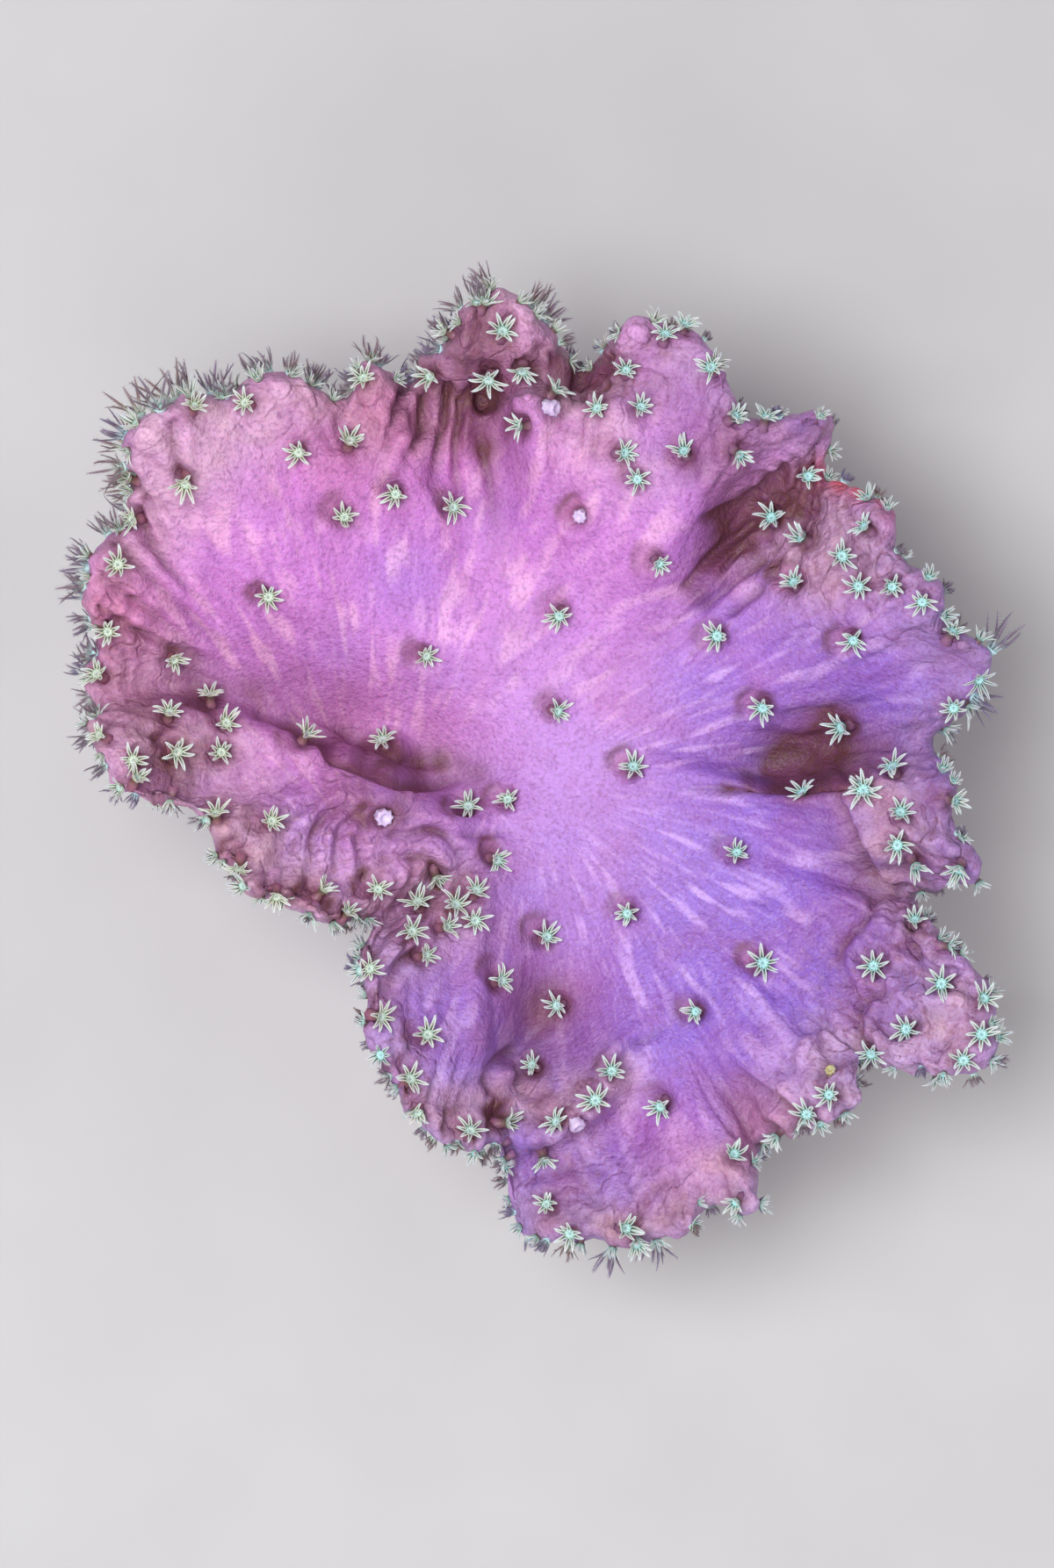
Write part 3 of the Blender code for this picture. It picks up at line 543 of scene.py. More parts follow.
# Raised rings of skin round some polyps: (angle, radius, ring radius, height).
CUPS = [
    (326.7, 37.4, 2.3, 0.9), (315.7, 34.4, 2.0, 1.1), (331.8, 33, 1.9, 0.6),
    (333.6, 38.5, 1.8, 0.8), (263.5, 25.8, 0.0, 1.0), (81, 22.6, 1.3, 0.35), (287, 26, 1.8, 0.4),
    (348, 36.5, 1.7, 0.5),
]

# Where the skin is folded most, as (angle, radius, size, strength).
FOLDED_PATCHES = [
    (195, 18, 8, 1.0), (176, 31, 7, 0.8), (212, 16, 6, 0.9), (228, 13, 5, 0.8), (160, 38, 5, 0.7),
    (95, 38, 7, 1.0), (80, 35, 6, 0.8), (40, 33, 8, 1.0), (330, 36, 8, 1.0), (350, 33, 6, 0.9),
    (316, 36, 5, 0.7), (275, 31, 7, 0.7), (245, 25, 7, 0.5), (285, 39, 6, 0.5), (117, 36, 6, 0.5),
]

# Where the margin is smooth for once: (angle, radius, size, calmness).
CALM_PATCHES = [(136, 42, 7, 0.85), (128, 40, 5, 0.7), (75, 39, 4, 0.5)]


def patch_field(xy, patches):
    """The strongest of the bell-shaped patches at each place."""
    field = np.zeros(xy.shape[:-1])
    for angle, radius, size, strength in patches:
        away = np.linalg.norm(xy - on_circle(angle, radius), axis=-1)
        field = np.maximum(field, strength * np.exp(-(away / size) ** 2))
    return field


def contour_folds(grid):
    """Small curved folds, -1 to 1, side by side as contour lines are: a wave of a smooth noise."""
    smooth = grain(grid, CONTOUR_SIZE, 31) + 0.35 * grain(grid, CONTOUR_WAVER, 32)
    return np.cos(2 * np.pi * smooth / CONTOUR_SPACING)


# The creases of the margin, broad and fine: (strength, mm across, mm along, width, seed).
MARGIN_CREASES = [(1.0, 2.2, 9.0, 0.16, 11), (0.6, 1.25, 5.0, 0.18, 12)]
MARGIN_REACH = 40


def crease_lines(grid, outness):
    """Creases that run in from the margin, where a noise stretched along the radius crosses zero."""
    reach = np.hypot(grid[..., 0], grid[..., 1])
    turn = np.arctan2(grid[..., 1], grid[..., 0])
    lines = np.zeros(reach.shape)
    for strength, across, along, width, seed in MARGIN_CREASES:
        stretched = np.stack([turn * MARGIN_REACH / across, reach / along, grid[..., 2] / along], axis=-1)
        lines += strength * np.exp(-(grain(stretched, 1.0, seed) / width) ** 2)
    return lines * smooth_step(outness, 0.62, 0.95)


# The streaks' grain fans out from the middle, and in the upper left from a point lower down.
STREAK_FOCUS = np.array([-14.0, -8.0])
STREAK_ROUND = 19.0
STREAK_ALONG = 4.5
SCARRED_WITHIN = 31.0
# The side the hollows reach towards, where the painted shade of their brows lies.
SCAR_SIDE = np.array([-0.87, 0.5])
SCAR_RADIUS = 1.5
# Each hollow's strength, size and turn lie between these.
SCAR_LEAST, SCAR_MOST = (0.45, 0.75, -0.5), (1.0, 1.1, 0.5)


def streak_flow(grid):
    """The streaks' own coordinates: round and along the lines that fan out from their focus."""
    upper_left = smooth_step(grid[..., 1] - grid[..., 0], -5, 14)
    xy = grid[..., :2] - STREAK_FOCUS * upper_left[..., None]
    reach = np.linalg.norm(xy, axis=-1, keepdims=True)
    return np.concatenate([STREAK_ROUND * xy / np.maximum(reach, 1.0), reach / STREAK_ALONG], axis=-1)


def pits_and_collars(xy, roughness, rows, columns):
    """How near each place is to a polyp's foot, as (pit, collar, hollow, brow_shade).

    The pit is a bell at the foot, and the collar a ring round it. The polyps of the open skin also lie in
    a round hollow that reaches further on their upper left side, under a sharp edge, and brow_shade is a
    crescent of painted shade along that side of its rim.
    """
    pit, collar, hollow, brow_shade = np.zeros((4, *xy.shape[:-1]))
    draw = np.random.default_rng(7)
    for row, column in zip(rows, columns):
        foot_xy = grid[row, column, :2]
        away = np.linalg.norm(xy - foot_xy, axis=-1)
        pit = np.maximum(pit, np.exp(-(away / PIT_RADIUS) ** 2))
        collar = np.maximum(collar, np.exp(-((away - COLLAR_RADIUS) / COLLAR_WIDTH) ** 2))
        if np.hypot(*foot_xy) < SCARRED_WITHIN:
            strength, radius, turn = draw.uniform(SCAR_LEAST, SCAR_MOST)
            radius = radius * SCAR_RADIUS
            towards = SCAR_SIDE * np.cos(turn) + SCAR_SIDE[::-1] * [1, -1] * np.sin(turn)
            gap = xy - foot_xy - 0.45 * radius * towards
            away = np.linalg.norm(gap, axis=-1) + 0.25 * roughness
            turned = smooth_step((gap @ towards) / np.maximum(away, 0.1), 0.0, 1.0)
            hollow = np.maximum(hollow, strength * smooth_step(away, radius + 0.2, radius - 0.9))
            brow_shade = np.maximum(brow_shade, strength * turned * np.exp(-((away - radius) / BROW_SHADE_WIDTH) ** 2))
    return pit, collar, hollow, brow_shade


flat_xy = grid[:top_rows, :, :2].reshape(-1, 2)
all_rows = np.concatenate([open_rows, closed_rows])
all_columns = np.concatenate([open_columns, closed_columns])
pit, collar, hollow, brow_shade = pits_and_collars(grid[:top_rows, :, :2], grain(grid[:top_rows], 1.1, 8),
                                             all_rows, all_columns)
sunk = relief(flat_xy)[0].reshape(top_rows, COLUMNS)
hollow, brow_shade = (values * smooth_step(sunk, -3.5, -1.0) for values in (hollow, brow_shade))
flow = streak_flow(grid)
streaks = smooth_step(outness[:top_rows], 0.10, 0.25) * smooth_step(outness[:top_rows], 0.98, 0.86)
streaks = streaks * (1 - np.maximum(pit, hollow))
fine_lift, _ = relief(flat_xy, folds=CREASES)
fine_lift = fine_lift.reshape(top_rows, COLUMNS)
for angle, radius, ring, height in CUPS:
    away = np.linalg.norm(grid[:top_rows, :, :2] - on_circle(angle, radius), axis=-1)
    fine_lift += height * np.exp(-((away - ring) / CUP_WIDTH) ** 2)

# The places of the darkest brown painted shade, in the valleys and notches: (angle, radius, size,
# strength).
PAINTED_SHADE_PATCHES = [
    (167, 6.8, 1.3, 0.5), (169, 8.6, 1.5, 0.8), (172.5, 10.6, 1.8, 0.85), (172.6, 12.9, 1.9, 1.0),
    (171, 15.2, 1.6, 0.8), (168.6, 17.6, 1.3, 0.6), (166.5, 22, 1.0, 0.35),
    (190.5, 12.2, 2.2, 0.45), (98, 37, 1.8, 0.4), (63.5, 30, 1.6, 0.4), (166.7, 30.4, 2.2, 0.7),
    (170, 34, 2.2, 0.6), (178, 31, 2.4, 0.65), (163, 26, 1.5, 0.4), (0.9, 18.5, 1.0, 0.7),
    (2.5, 20.5, 1.4, 0.9), (4.1, 22.4, 2.7, 1.4), (5.6, 24.6, 3.0, 1.5), (9.5, 25.6, 2.3, 1.3),
    (82.7, 35.5, 2.4, 0.8), (358, 16.5, 0.8, 0.5), (98.2, 33.6, 2.2, 0.7), (101, 31.3, 1.9, 0.6),
    (99.1, 29.3, 1.2, 0.6), (83, 36, 2.6, 1.0), (272, 20, 2.6, 0.6), (172, 5.3, 1.6, 0.55),
    (52, 28.6, 2.6, 1.0), (48.4, 27, 1.9, 0.8), (50.5, 24.5, 1.7, 0.7), (50, 21.5, 1.3, 0.5),
    (49, 32.6, 1.7, 0.6), (45.4, 33.2, 1.9, 0.8),
]
SHADE_WIDTH, SHADE_LEAST_WIDTH, SHADE_DEPTH = 0.34, 0.8, 7


def stain_field(xy):
    """How much brown painted shade lies in the valleys: a bell narrower than each valley, by its depth.
    """
    total = np.zeros(len(xy))
    for fold in FOLDS:
        if fold.depth.max() <= 0:
            continue
        near = fold.near(xy)
        away, leftward, depth, _ = fold.measure(xy[near])
        half = SHADE_WIDTH * np.where(leftward > 0, fold.left, fold.right) + SHADE_LEAST_WIDTH
        total[near] += fold.stain * np.clip(depth, 0, None) / SHADE_DEPTH * np.exp(-(away / half) ** 2)
    return total + patch_field(xy, PAINTED_SHADE_PATCHES)


margin = smooth_step(outness, 0.80, 0.99) * (1 - smooth_step(overness, 0.3, 0.95))
lumps = grain(grid, LUMP_SIZE, 1) + 0.5 * grain(grid, SMALL_LUMP_SIZE, 2)
swells = grain(grid, SWELL_SIZE, 4)
lines = crease_lines(grid, outness) * (1 - 0.75 * overness)
folded = patch_field(grid[..., :2], FOLDED_PATCHES) * smooth_step(outness, 0.2, 0.5)
folded = np.clip(folded + 0.35 * margin, 0, 1) * (1 - overness)
folds = contour_folds(grid) * folded
calm = 1 - patch_field(grid[..., :2], CALM_PATCHES)
lift = (LUMP_HEIGHT + MARGIN_LUMP_HEIGHT * margin * calm) * lumps + SWELL_HEIGHT * swells * (1 - overness)
lift += calm * (FOLD_HEIGHT * folds - LINE_DEPTH * lines)
lift[:top_rows] += COLLAR_HEIGHT * collar - PIT_DEPTH * pit - HOLLOW_DEPTH * hollow + fine_lift
on_stalk = np.arange(row_count) >= SKIN_ROWS + EDGE_ROWS + BELLY_ROWS
upright = grain(grid * [1, 1, 0.22], 1.5, 9) + 0.6 * grain(grid * [1, 1, 0.30], 0.8, 10)
level = grain(grid * [0.35, 0.35, 1], 1.6, 12)
lift[on_stalk] = (STALK_LUMP_HEIGHT * lumps + STALK_GROOVE_HEIGHT * upright
                  + STALK_RING_HEIGHT * level)[on_stalk]
ribs = grain(streak_flow(grid) * [0.6, 0.6, 0.5], 1.0, 14) + 0.4 * grain(grid, 1.6, 15)
lift += RIB_HEIGHT * ribs * smooth_step(overness, 0.6, 1.0) * np.where(on_stalk, 0, 1)[:, None]
lift[row_count - len(CUT_SHARES) - 1:] = 0
grid = grid + plain_normals * lift[..., None]
fine_normals = normals_of(grid)

# --------------------------------------------------------------------------------------------------------
# The flesh as a piece: its mesh, and its colours. Pink on the upper left turns to violet on the
# lower right, to salmon on the lumpy margins and to a red-brown painted shade in the valleys, under paler
# streaks.
# --------------------------------------------------------------------------------------------------------
def fill_mesh(name, points, faces, **attributes):
    """A smooth mesh of points in millimetres, with face arrays of a fixed number of corners each."""
    data = bpy.data.meshes.new(name)
    data.vertices.add(len(points))
    data.vertices.foreach_set("co", (points * MM).astype(np.float32).ravel())
    sizes = np.concatenate([np.full(len(part), part.shape[1]) for part in faces])
    corners = np.concatenate([part.ravel() for part in faces])
    data.loops.add(len(corners))
    data.loops.foreach_set("vertex_index", corners.astype(np.int32))
    data.polygons.add(len(sizes))
    data.polygons.foreach_set("loop_start", (np.cumsum(sizes) - sizes).astype(np.int32))
    for key, values in attributes.items():
        kind, slot = ("FLOAT_VECTOR", "vector") if values.size > len(points) else ("FLOAT", "value")
        data.attributes.new(key, kind, "POINT").data.foreach_set(slot, values.astype(np.float32).ravel())
    data.update(calc_edges=True)
    data.validate()
    data.shade_smooth()
    piece = bpy.data.objects.new(name, data)
    bpy.context.scene.collection.objects.link(piece)
    return piece


def grid_faces(rows, columns):
    """The four-sided faces of a grid that closes on itself round its columns."""
    here = np.arange((rows - 1) * columns).reshape(rows - 1, columns)
    after = np.roll(here, -1, axis=1)
    return np.stack([here, here + columns, after + columns, after], axis=-1).reshape(-1, 4)


def pole_faces(pole, ring):
    """A fan of triangles from a pole to a closed ring of points."""
    return np.stack([np.full(len(ring), pole), ring, np.roll(ring, -1)], axis=-1)


def on_all_rows(values):
    """A field of the upper rows, with zeros for the rows below them."""
    return np.concatenate([values, np.zeros((row_count - top_rows, COLUMNS))])


# Patches of skin that are lumpier and more salmon than the rest: (angle, radius, size, strength).
SALMON_PATCHES = [
    (136, 43, 6.5, 1.0), (128, 41, 4.5, 0.8), (120, 38, 4, 0.5), (170, 35, 6, 0.7),
    (176, 29, 5, 0.9), (183, 26, 4, 0.8), (192, 25, 4.5, 0.9), (202, 22, 4, 0.8), (212, 17, 4, 0.6),
    (226, 13, 4, 0.9), (232, 17, 4, 0.8), (240, 13, 3.5, 0.7), (161, 39, 4, 0.5), (95, 41, 5, 0.7),
    (86, 34, 4, 0.7), (80, 30.5, 4.5, 0.7), (72, 28, 3.5, 0.4), (45, 32, 4.5, 0.6),
    (38, 30.5, 4.5, 0.9), (350, 31, 3.5, 0.75), (356, 29, 3.5, 0.65), (346.5, 32, 3, 0.8),
    (327, 40, 5, 0.6), (332, 36, 4, 0.6), (318, 36, 4, 0.7), (306, 36, 4, 0.6), (296, 38, 4, 0.5),
    (276, 29, 3, 1.0), (268, 27.8, 3, 0.9), (285, 27.5, 2.5, 0.9), (106, 34, 4, 0.7),
    (113, 34, 4, 0.6), (97, 38, 4, 0.7), (258, 29, 3.5, 0.5), (285, 39, 5, 0.3),
]
# Patches that are a greyer peach, whatever the colour round them.
PEACH_PATCHES = [
    (254, 29, 2.2, 0.6), (262, 28, 2.0, 0.8), (270, 27.2, 2.0, 1.0), (278, 26.8, 2.0, 1.0),
    (284, 26, 1.8, 0.9), (272, 38.5, 2.2, 0.7), (280, 39.5, 2.4, 0.8), (288, 39, 2.2, 0.7),
    (295, 37, 2.4, 0.7), (328, 41, 2.6, 0.7), (334, 40, 2.4, 0.5), (4, 27.5, 2.0, 0.7),
    (358, 28.5, 2.6, 0.9), (350, 29.5, 2.6, 0.8), (344, 31, 2.0, 0.7), (40, 31.5, 3.0, 0.7),
    (33, 30.5, 2.2, 0.4), (195, 25, 3.0, 0.6), (187, 27, 2.6, 0.6), (205, 22, 2.4, 0.6),
    (216, 17.5, 2.0, 0.6), (226, 13, 2.4, 0.6), (234, 11, 2.0, 0.5), (176, 30, 2.6, 0.5),
    (250, 30, 2.0, 0.4),
]
# Patches on the pink side that are violet, patches that are rosier, and patches of a darker violet.
VIOLET_PATCHES = [
    (68, 37, 6, 0.6), (66, 30, 5, 0.35), (185, 13, 4, 0.5), (200, 13, 3, 0.4), (90, 40, 3, 0.3),
    (26, 17, 7, 0.9), (240, 19.5, 6, 1.0), (194, 21, 5, 0.65), (180, 29, 4, 0.3),
    (99.7, 23.1, 3, 0.25), (122.8, 20.7, 4, 0.45), (145.7, 20.6, 3, 0.3), (131, 12, 3, 0.25),
]
ROSE_PATCHES = [
    (112, 34, 4.5, 0.9), (104, 31, 3, 0.6), (121, 32.5, 4, 0.6), (159, 40, 5, 1.0),
    (166, 38, 4, 0.5), (95, 38, 4, 0.4), (153, 10, 4, 0.4), (165, 16, 5, 0.5), (291, 33, 5, 0.5),
    (303, 36, 4, 0.6), (276, 18, 6, 0.35),
]
DUSK_PATCHES = [
    (359, 34.5, 3.5, 0.8), (8, 36.5, 4, 0.6), (20, 37.5, 3, 0.4), (53, 38.5, 3, 0.9),
    (59, 35.5, 3, 0.6), (328.7, 39, 3.2, 0.12), (38, 38, 2, 0.4), (48.7, 33, 2.2, 0.5),
]
# The strip of bright red on the upper right margin: its fluorescent glow, painted into the colour.
RED_PATCHES = [(47, 36.5, 1.0, 0.7), (44.5, 36.8, 1.1, 1.0), (42, 37.3, 1.1, 1.0), (39, 38.2, 1.0, 0.8),
               (37, 38.3, 1.6, 0.35)]
# Patches where the skin is a darker, browner mauve.
MAUVE_PATCHES = [
    (184, 10.5, 2.6, 0.7), (185, 15.8, 3.5, 0.9), (195, 19.5, 4, 0.1), (197, 11, 3.5, 0.5),
    (165.6, 33.3, 5, 0.5), (163, 37, 3, 0.5), (160, 22.3, 6, 0.5), (118, 33, 5, 0.5),
    (108, 33, 3.5, 0.7), (97.4, 38, 3.5, 0.9), (281, 20, 3.5, 0.6), (265, 18.8, 4, 0.8),
    (256, 14, 3.5, 0.6), (259, 22.6, 2.5, 0.6), (336, 32, 4, 0.7), (349, 26.8, 4, 0.5),
    (245, 9.1, 3.5, 0.5), (61, 31.5, 3.5, 0.8), (5, 27, 4, 0.6), (303, 34, 3, 0.5),
    (327, 34, 3, 0.6), (275, 35, 3, 0.5), (238, 20, 3, 0.2), (354.4, 30.5, 3, 0.65),
    (222, 17, 3, 0.3), (172, 28, 3, 0.7), (180, 32, 3, 0.6), (150, 40, 2.5, 0.5), (72, 36, 3, 0.4),
    (60, 30, 3, 0.5), (287, 37, 3, 0.3),
]


mottle = 4.0 * swells + 3.0 * grain(grid, 3.2, 6)
violet = smooth_step(grid[..., 0] * 0.66 - grid[..., 1] * 0.78 + mottle, -14, 16)
violet = np.maximum(violet, patch_field(grid[..., :2], VIOLET_PATCHES))
salmon = patch_field(grid[..., :2], SALMON_PATCHES) * smooth_step(outness, 0.2, 0.6)
salmon = np.clip(0.6 * margin + 1.15 * salmon, 0, 1) * (0.8 + 0.25 * lumps)
salmon *= 1 - smooth_step(overness, 0.3, 0.9)
salmon[:top_rows] = np.maximum(salmon[:top_rows], 0.25 * hollow)
stain = stain_field(flat_xy).reshape(top_rows, COLUMNS)
# Painted shade in the polyps' pits and hollows, in a crescent on the upper left rim of each hollow, along
# the margin's creases, in the fine creases and in the troughs of the small folds.
dent_shade = 0.8 * pit + 0.9 * brow_shade + 0.2 * (lines * margin)[:top_rows] + 0.8 * np.clip(-fine_lift, 0, 1)
dent_shade = dent_shade + 0.28 * np.clip(-folds[:top_rows], 0, 1) + 0.22 * hollow
stain = on_all_rows(np.clip(stain + dent_shade, 0, 1))
pale = np.exp(-(np.hypot(grid[..., 0], grid[..., 1]) / 15) ** 2) * (1 - overness)
red = patch_field(grid[..., :2], RED_PATCHES) * (1 - smooth_step(overness, 0.5, 1.0))
rose, dusk, peach = (patch_field(grid[..., :2], patches) * (1 - overness)
                     for patches in (ROSE_PATCHES, DUSK_PATCHES, PEACH_PATCHES))
peach *= 0.75 + 0.35 * lumps
rose = np.maximum(rose, on_all_rows(0.6 * hollow))
mauve = patch_field(grid[..., :2], MAUVE_PATCHES) * (0.8 + 0.5 * grain(grid, 2.6, 41)) * (1 - overness)
stalkness = np.where(on_stalk, 1.0, 0.0)[:, None] + (1 - smooth_step(outness, 0.0, 0.35)) * overness
cut = np.zeros((row_count, COLUMNS))
cut[row_count - len(CUT_SHARES):] = 1
fields = dict(violet=violet, cut=cut, pale=pale, salmon=salmon, streaky=on_all_rows(streaks), flow=flow,
              red=red, rose=rose, dusk=dusk, peach=np.clip(peach, 0, 1), stain=stain,
              mauve=np.clip(mauve, 0, 1), folded=folded, under=smooth_step(overness, 0.35, 0.9),
              stalk=np.clip(stalkness, 0, 1))

# The smooth underside needs only every second column, and three triangles join each pair of cells to it.
numbers = np.arange(row_count * COLUMNS).reshape(row_count, COLUMNS)
upper, lower = numbers[:top_rows], numbers[top_rows:, ::2]
kept = np.concatenate([upper.ravel(), lower.ravel()])
new_number = np.zeros(row_count * COLUMNS, int)
new_number[kept] = np.arange(len(kept))
last, first = numbers[top_rows - 1], lower[0]
one, two, three = last[::2], last[1::2], np.roll(last, -2)[::2]
after = np.roll(first, -1)
seam = np.concatenate([np.stack(corners, axis=-1)
                       for corners in ((one, first, two), (two, first, after), (two, after, three))])
first_pole, last_pole = len(kept), len(kept) + 1
flesh_faces = [grid_faces(top_rows, COLUMNS), new_number[seam],
               top_rows * COLUMNS + grid_faces(row_count - top_rows, COLUMNS // 2),
               pole_faces(first_pole, new_number[upper[0]]),
               pole_faces(last_pole, new_number[lower[-1, ::-1]])]
points = np.concatenate([grid.reshape(-1, 3)[kept], grid[:1].mean(axis=1), [[0, 0, 0]]])
fields = {key: np.concatenate([values.reshape(row_count * COLUMNS, -1)[kept],
                               [values[0].mean(axis=0).ravel(), values[-1].mean(axis=0).ravel()]])
          for key, values in fields.items()}
flesh = fill_mesh("coral_skin", points, flesh_faces, **fields)

PINK = (0.68, 0.24, 0.71)
VIOLET = (0.30, 0.145, 0.67)
LAVENDER = (0.76, 0.52, 0.80)
# The streaks' colours, on the pink side and on the violet side.
PALE_STREAK = (0.96, 0.48, 0.82), (0.66, 0.42, 0.95)
DARK_STREAK = (0.46, 0.13, 0.52), (0.20, 0.08, 0.50)
TUBE_SPACING = 0.0013
# Each colour laid over the last where its field is strong: (field, colour, how much of it at most).
FLESH_LAYERS = [
    ("pale", (0.66, 0.38, 0.86), 0.50),
    ("salmon", (0.88, 0.56, 0.72), 0.90),
    ("peach", (0.69, 0.39, 0.40), 0.78),
    ("rose", (0.80, 0.22, 0.48), 0.7),
    ("dusk", (0.22, 0.12, 0.42), 0.85),
    ("mauve", (0.30, 0.10, 0.20), 0.75),
    # Brown painted shade in the valleys, and in the pits, hollows and creases.
    ("stain", (0.128, 0.040, 0.029), 0.95),
    ("under", (0.34, 0.17, 0.32), 0.9),
    ("stalk", (0.55, 0.40, 0.44), 0.85),
    # The red margin's painted glow.
    ("red", (0.95, 0.08, 0.08), 0.9),
]


def rgba(colour):
    """A colour with full opacity."""
    return (*colour, 1.0)


class Nodes:
    """A material's node tree, with short ways to add nodes to it."""

    def __init__(self, name):
        self.material = bpy.data.materials.new(name)
        self.material.use_nodes = True
        self.tree = self.material.node_tree
        self.shader = self.tree.nodes["Principled BSDF"]

    def add(self, kind, inputs, **settings):
        """A node with its settings, whose inputs are values or other nodes' outputs."""
        node = self.tree.nodes.new(kind)
        for key, value in settings.items():
            setattr(node, key, value)
        for key, value in inputs.items():
            if isinstance(value, bpy.types.NodeSocket):
                self.tree.links.new(value, node.inputs[key])
            else:
                node.inputs[key].default_value = value
        return node

    def field(self, name):
        """The value of one of the mesh's fields."""
        return self.add("ShaderNodeAttribute", {}, attribute_name=name).outputs["Fac"]

    def place(self):
        """The place on the object."""
        return self.add("ShaderNodeTexCoord", {}).outputs["Object"]

    def noise(self, size, detail=2.0, contrast=(0.0, 1.0), at=None):
        """Noise with lumps of this size, spread to run from 0 to 1 between two of its values.

        It lies at the place on the object in metres, unless it is given another vector.
        """
        vector = self.place() if at is None else at
        noise = self.add("ShaderNodeTexNoise", {"Vector": vector, "Scale": 1 / size, "Detail": detail})
        if contrast == (0.0, 1.0):
            return noise.outputs["Fac"]
        return self.spread(noise.outputs["Fac"], *contrast)

    def spread(self, value, low, high, bottom=0.0):
        """A value spread to run from the bottom, at low, to 1, at high."""
        inputs = {"Value": value, "From Min": low, "From Max": high, "To Min": bottom}
        return self.add("ShaderNodeMapRange", inputs).outputs["Result"]

    def times(self, one, other):
        """Two values multiplied."""
        return self.add("ShaderNodeMath", {0: one, 1: other}, operation="MULTIPLY").outputs[0]

    def mix(self, share, under, over):
        """One colour over another by a share. Sockets 6 and 7 of a mix are its two colours."""
        node = self.tree.nodes.new("ShaderNodeMix")
        node.data_type = "RGBA"
        self.tree.links.new(share, node.inputs[0])
        for socket, colour in ((node.inputs[6], under), (node.inputs[7], over)):
            if isinstance(colour, bpy.types.NodeSocket):
                self.tree.links.new(colour, socket)
            else:
                socket.default_value = rgba(colour)
        return node.outputs[2]

    def tint(self, colour, share, most, over):
        """A colour with another over it by a share, and by no more than the most."""
        return self.mix(self.times(share, most), colour, over)

    def bump(self, height, distance, strength, under=None):
        """Relief of a height field, over another if there is one."""
        inputs = {"Height": height, "Distance": distance, "Strength": strength}
        if under is not None:
            inputs["Normal"] = under
        return self.add("ShaderNodeBump", inputs).outputs["Normal"]

    def finish(self, colour, normal, **values):
        """Colour and relief into the shader, and its plain values by name."""
        self.tree.links.new(colour, self.shader.inputs["Base Color"])
        self.tree.links.new(normal, self.shader.inputs["Normal"])
        for key, value in values.items():
            self.shader.inputs[key.replace("_", " ").title()].default_value = value
        return self.material


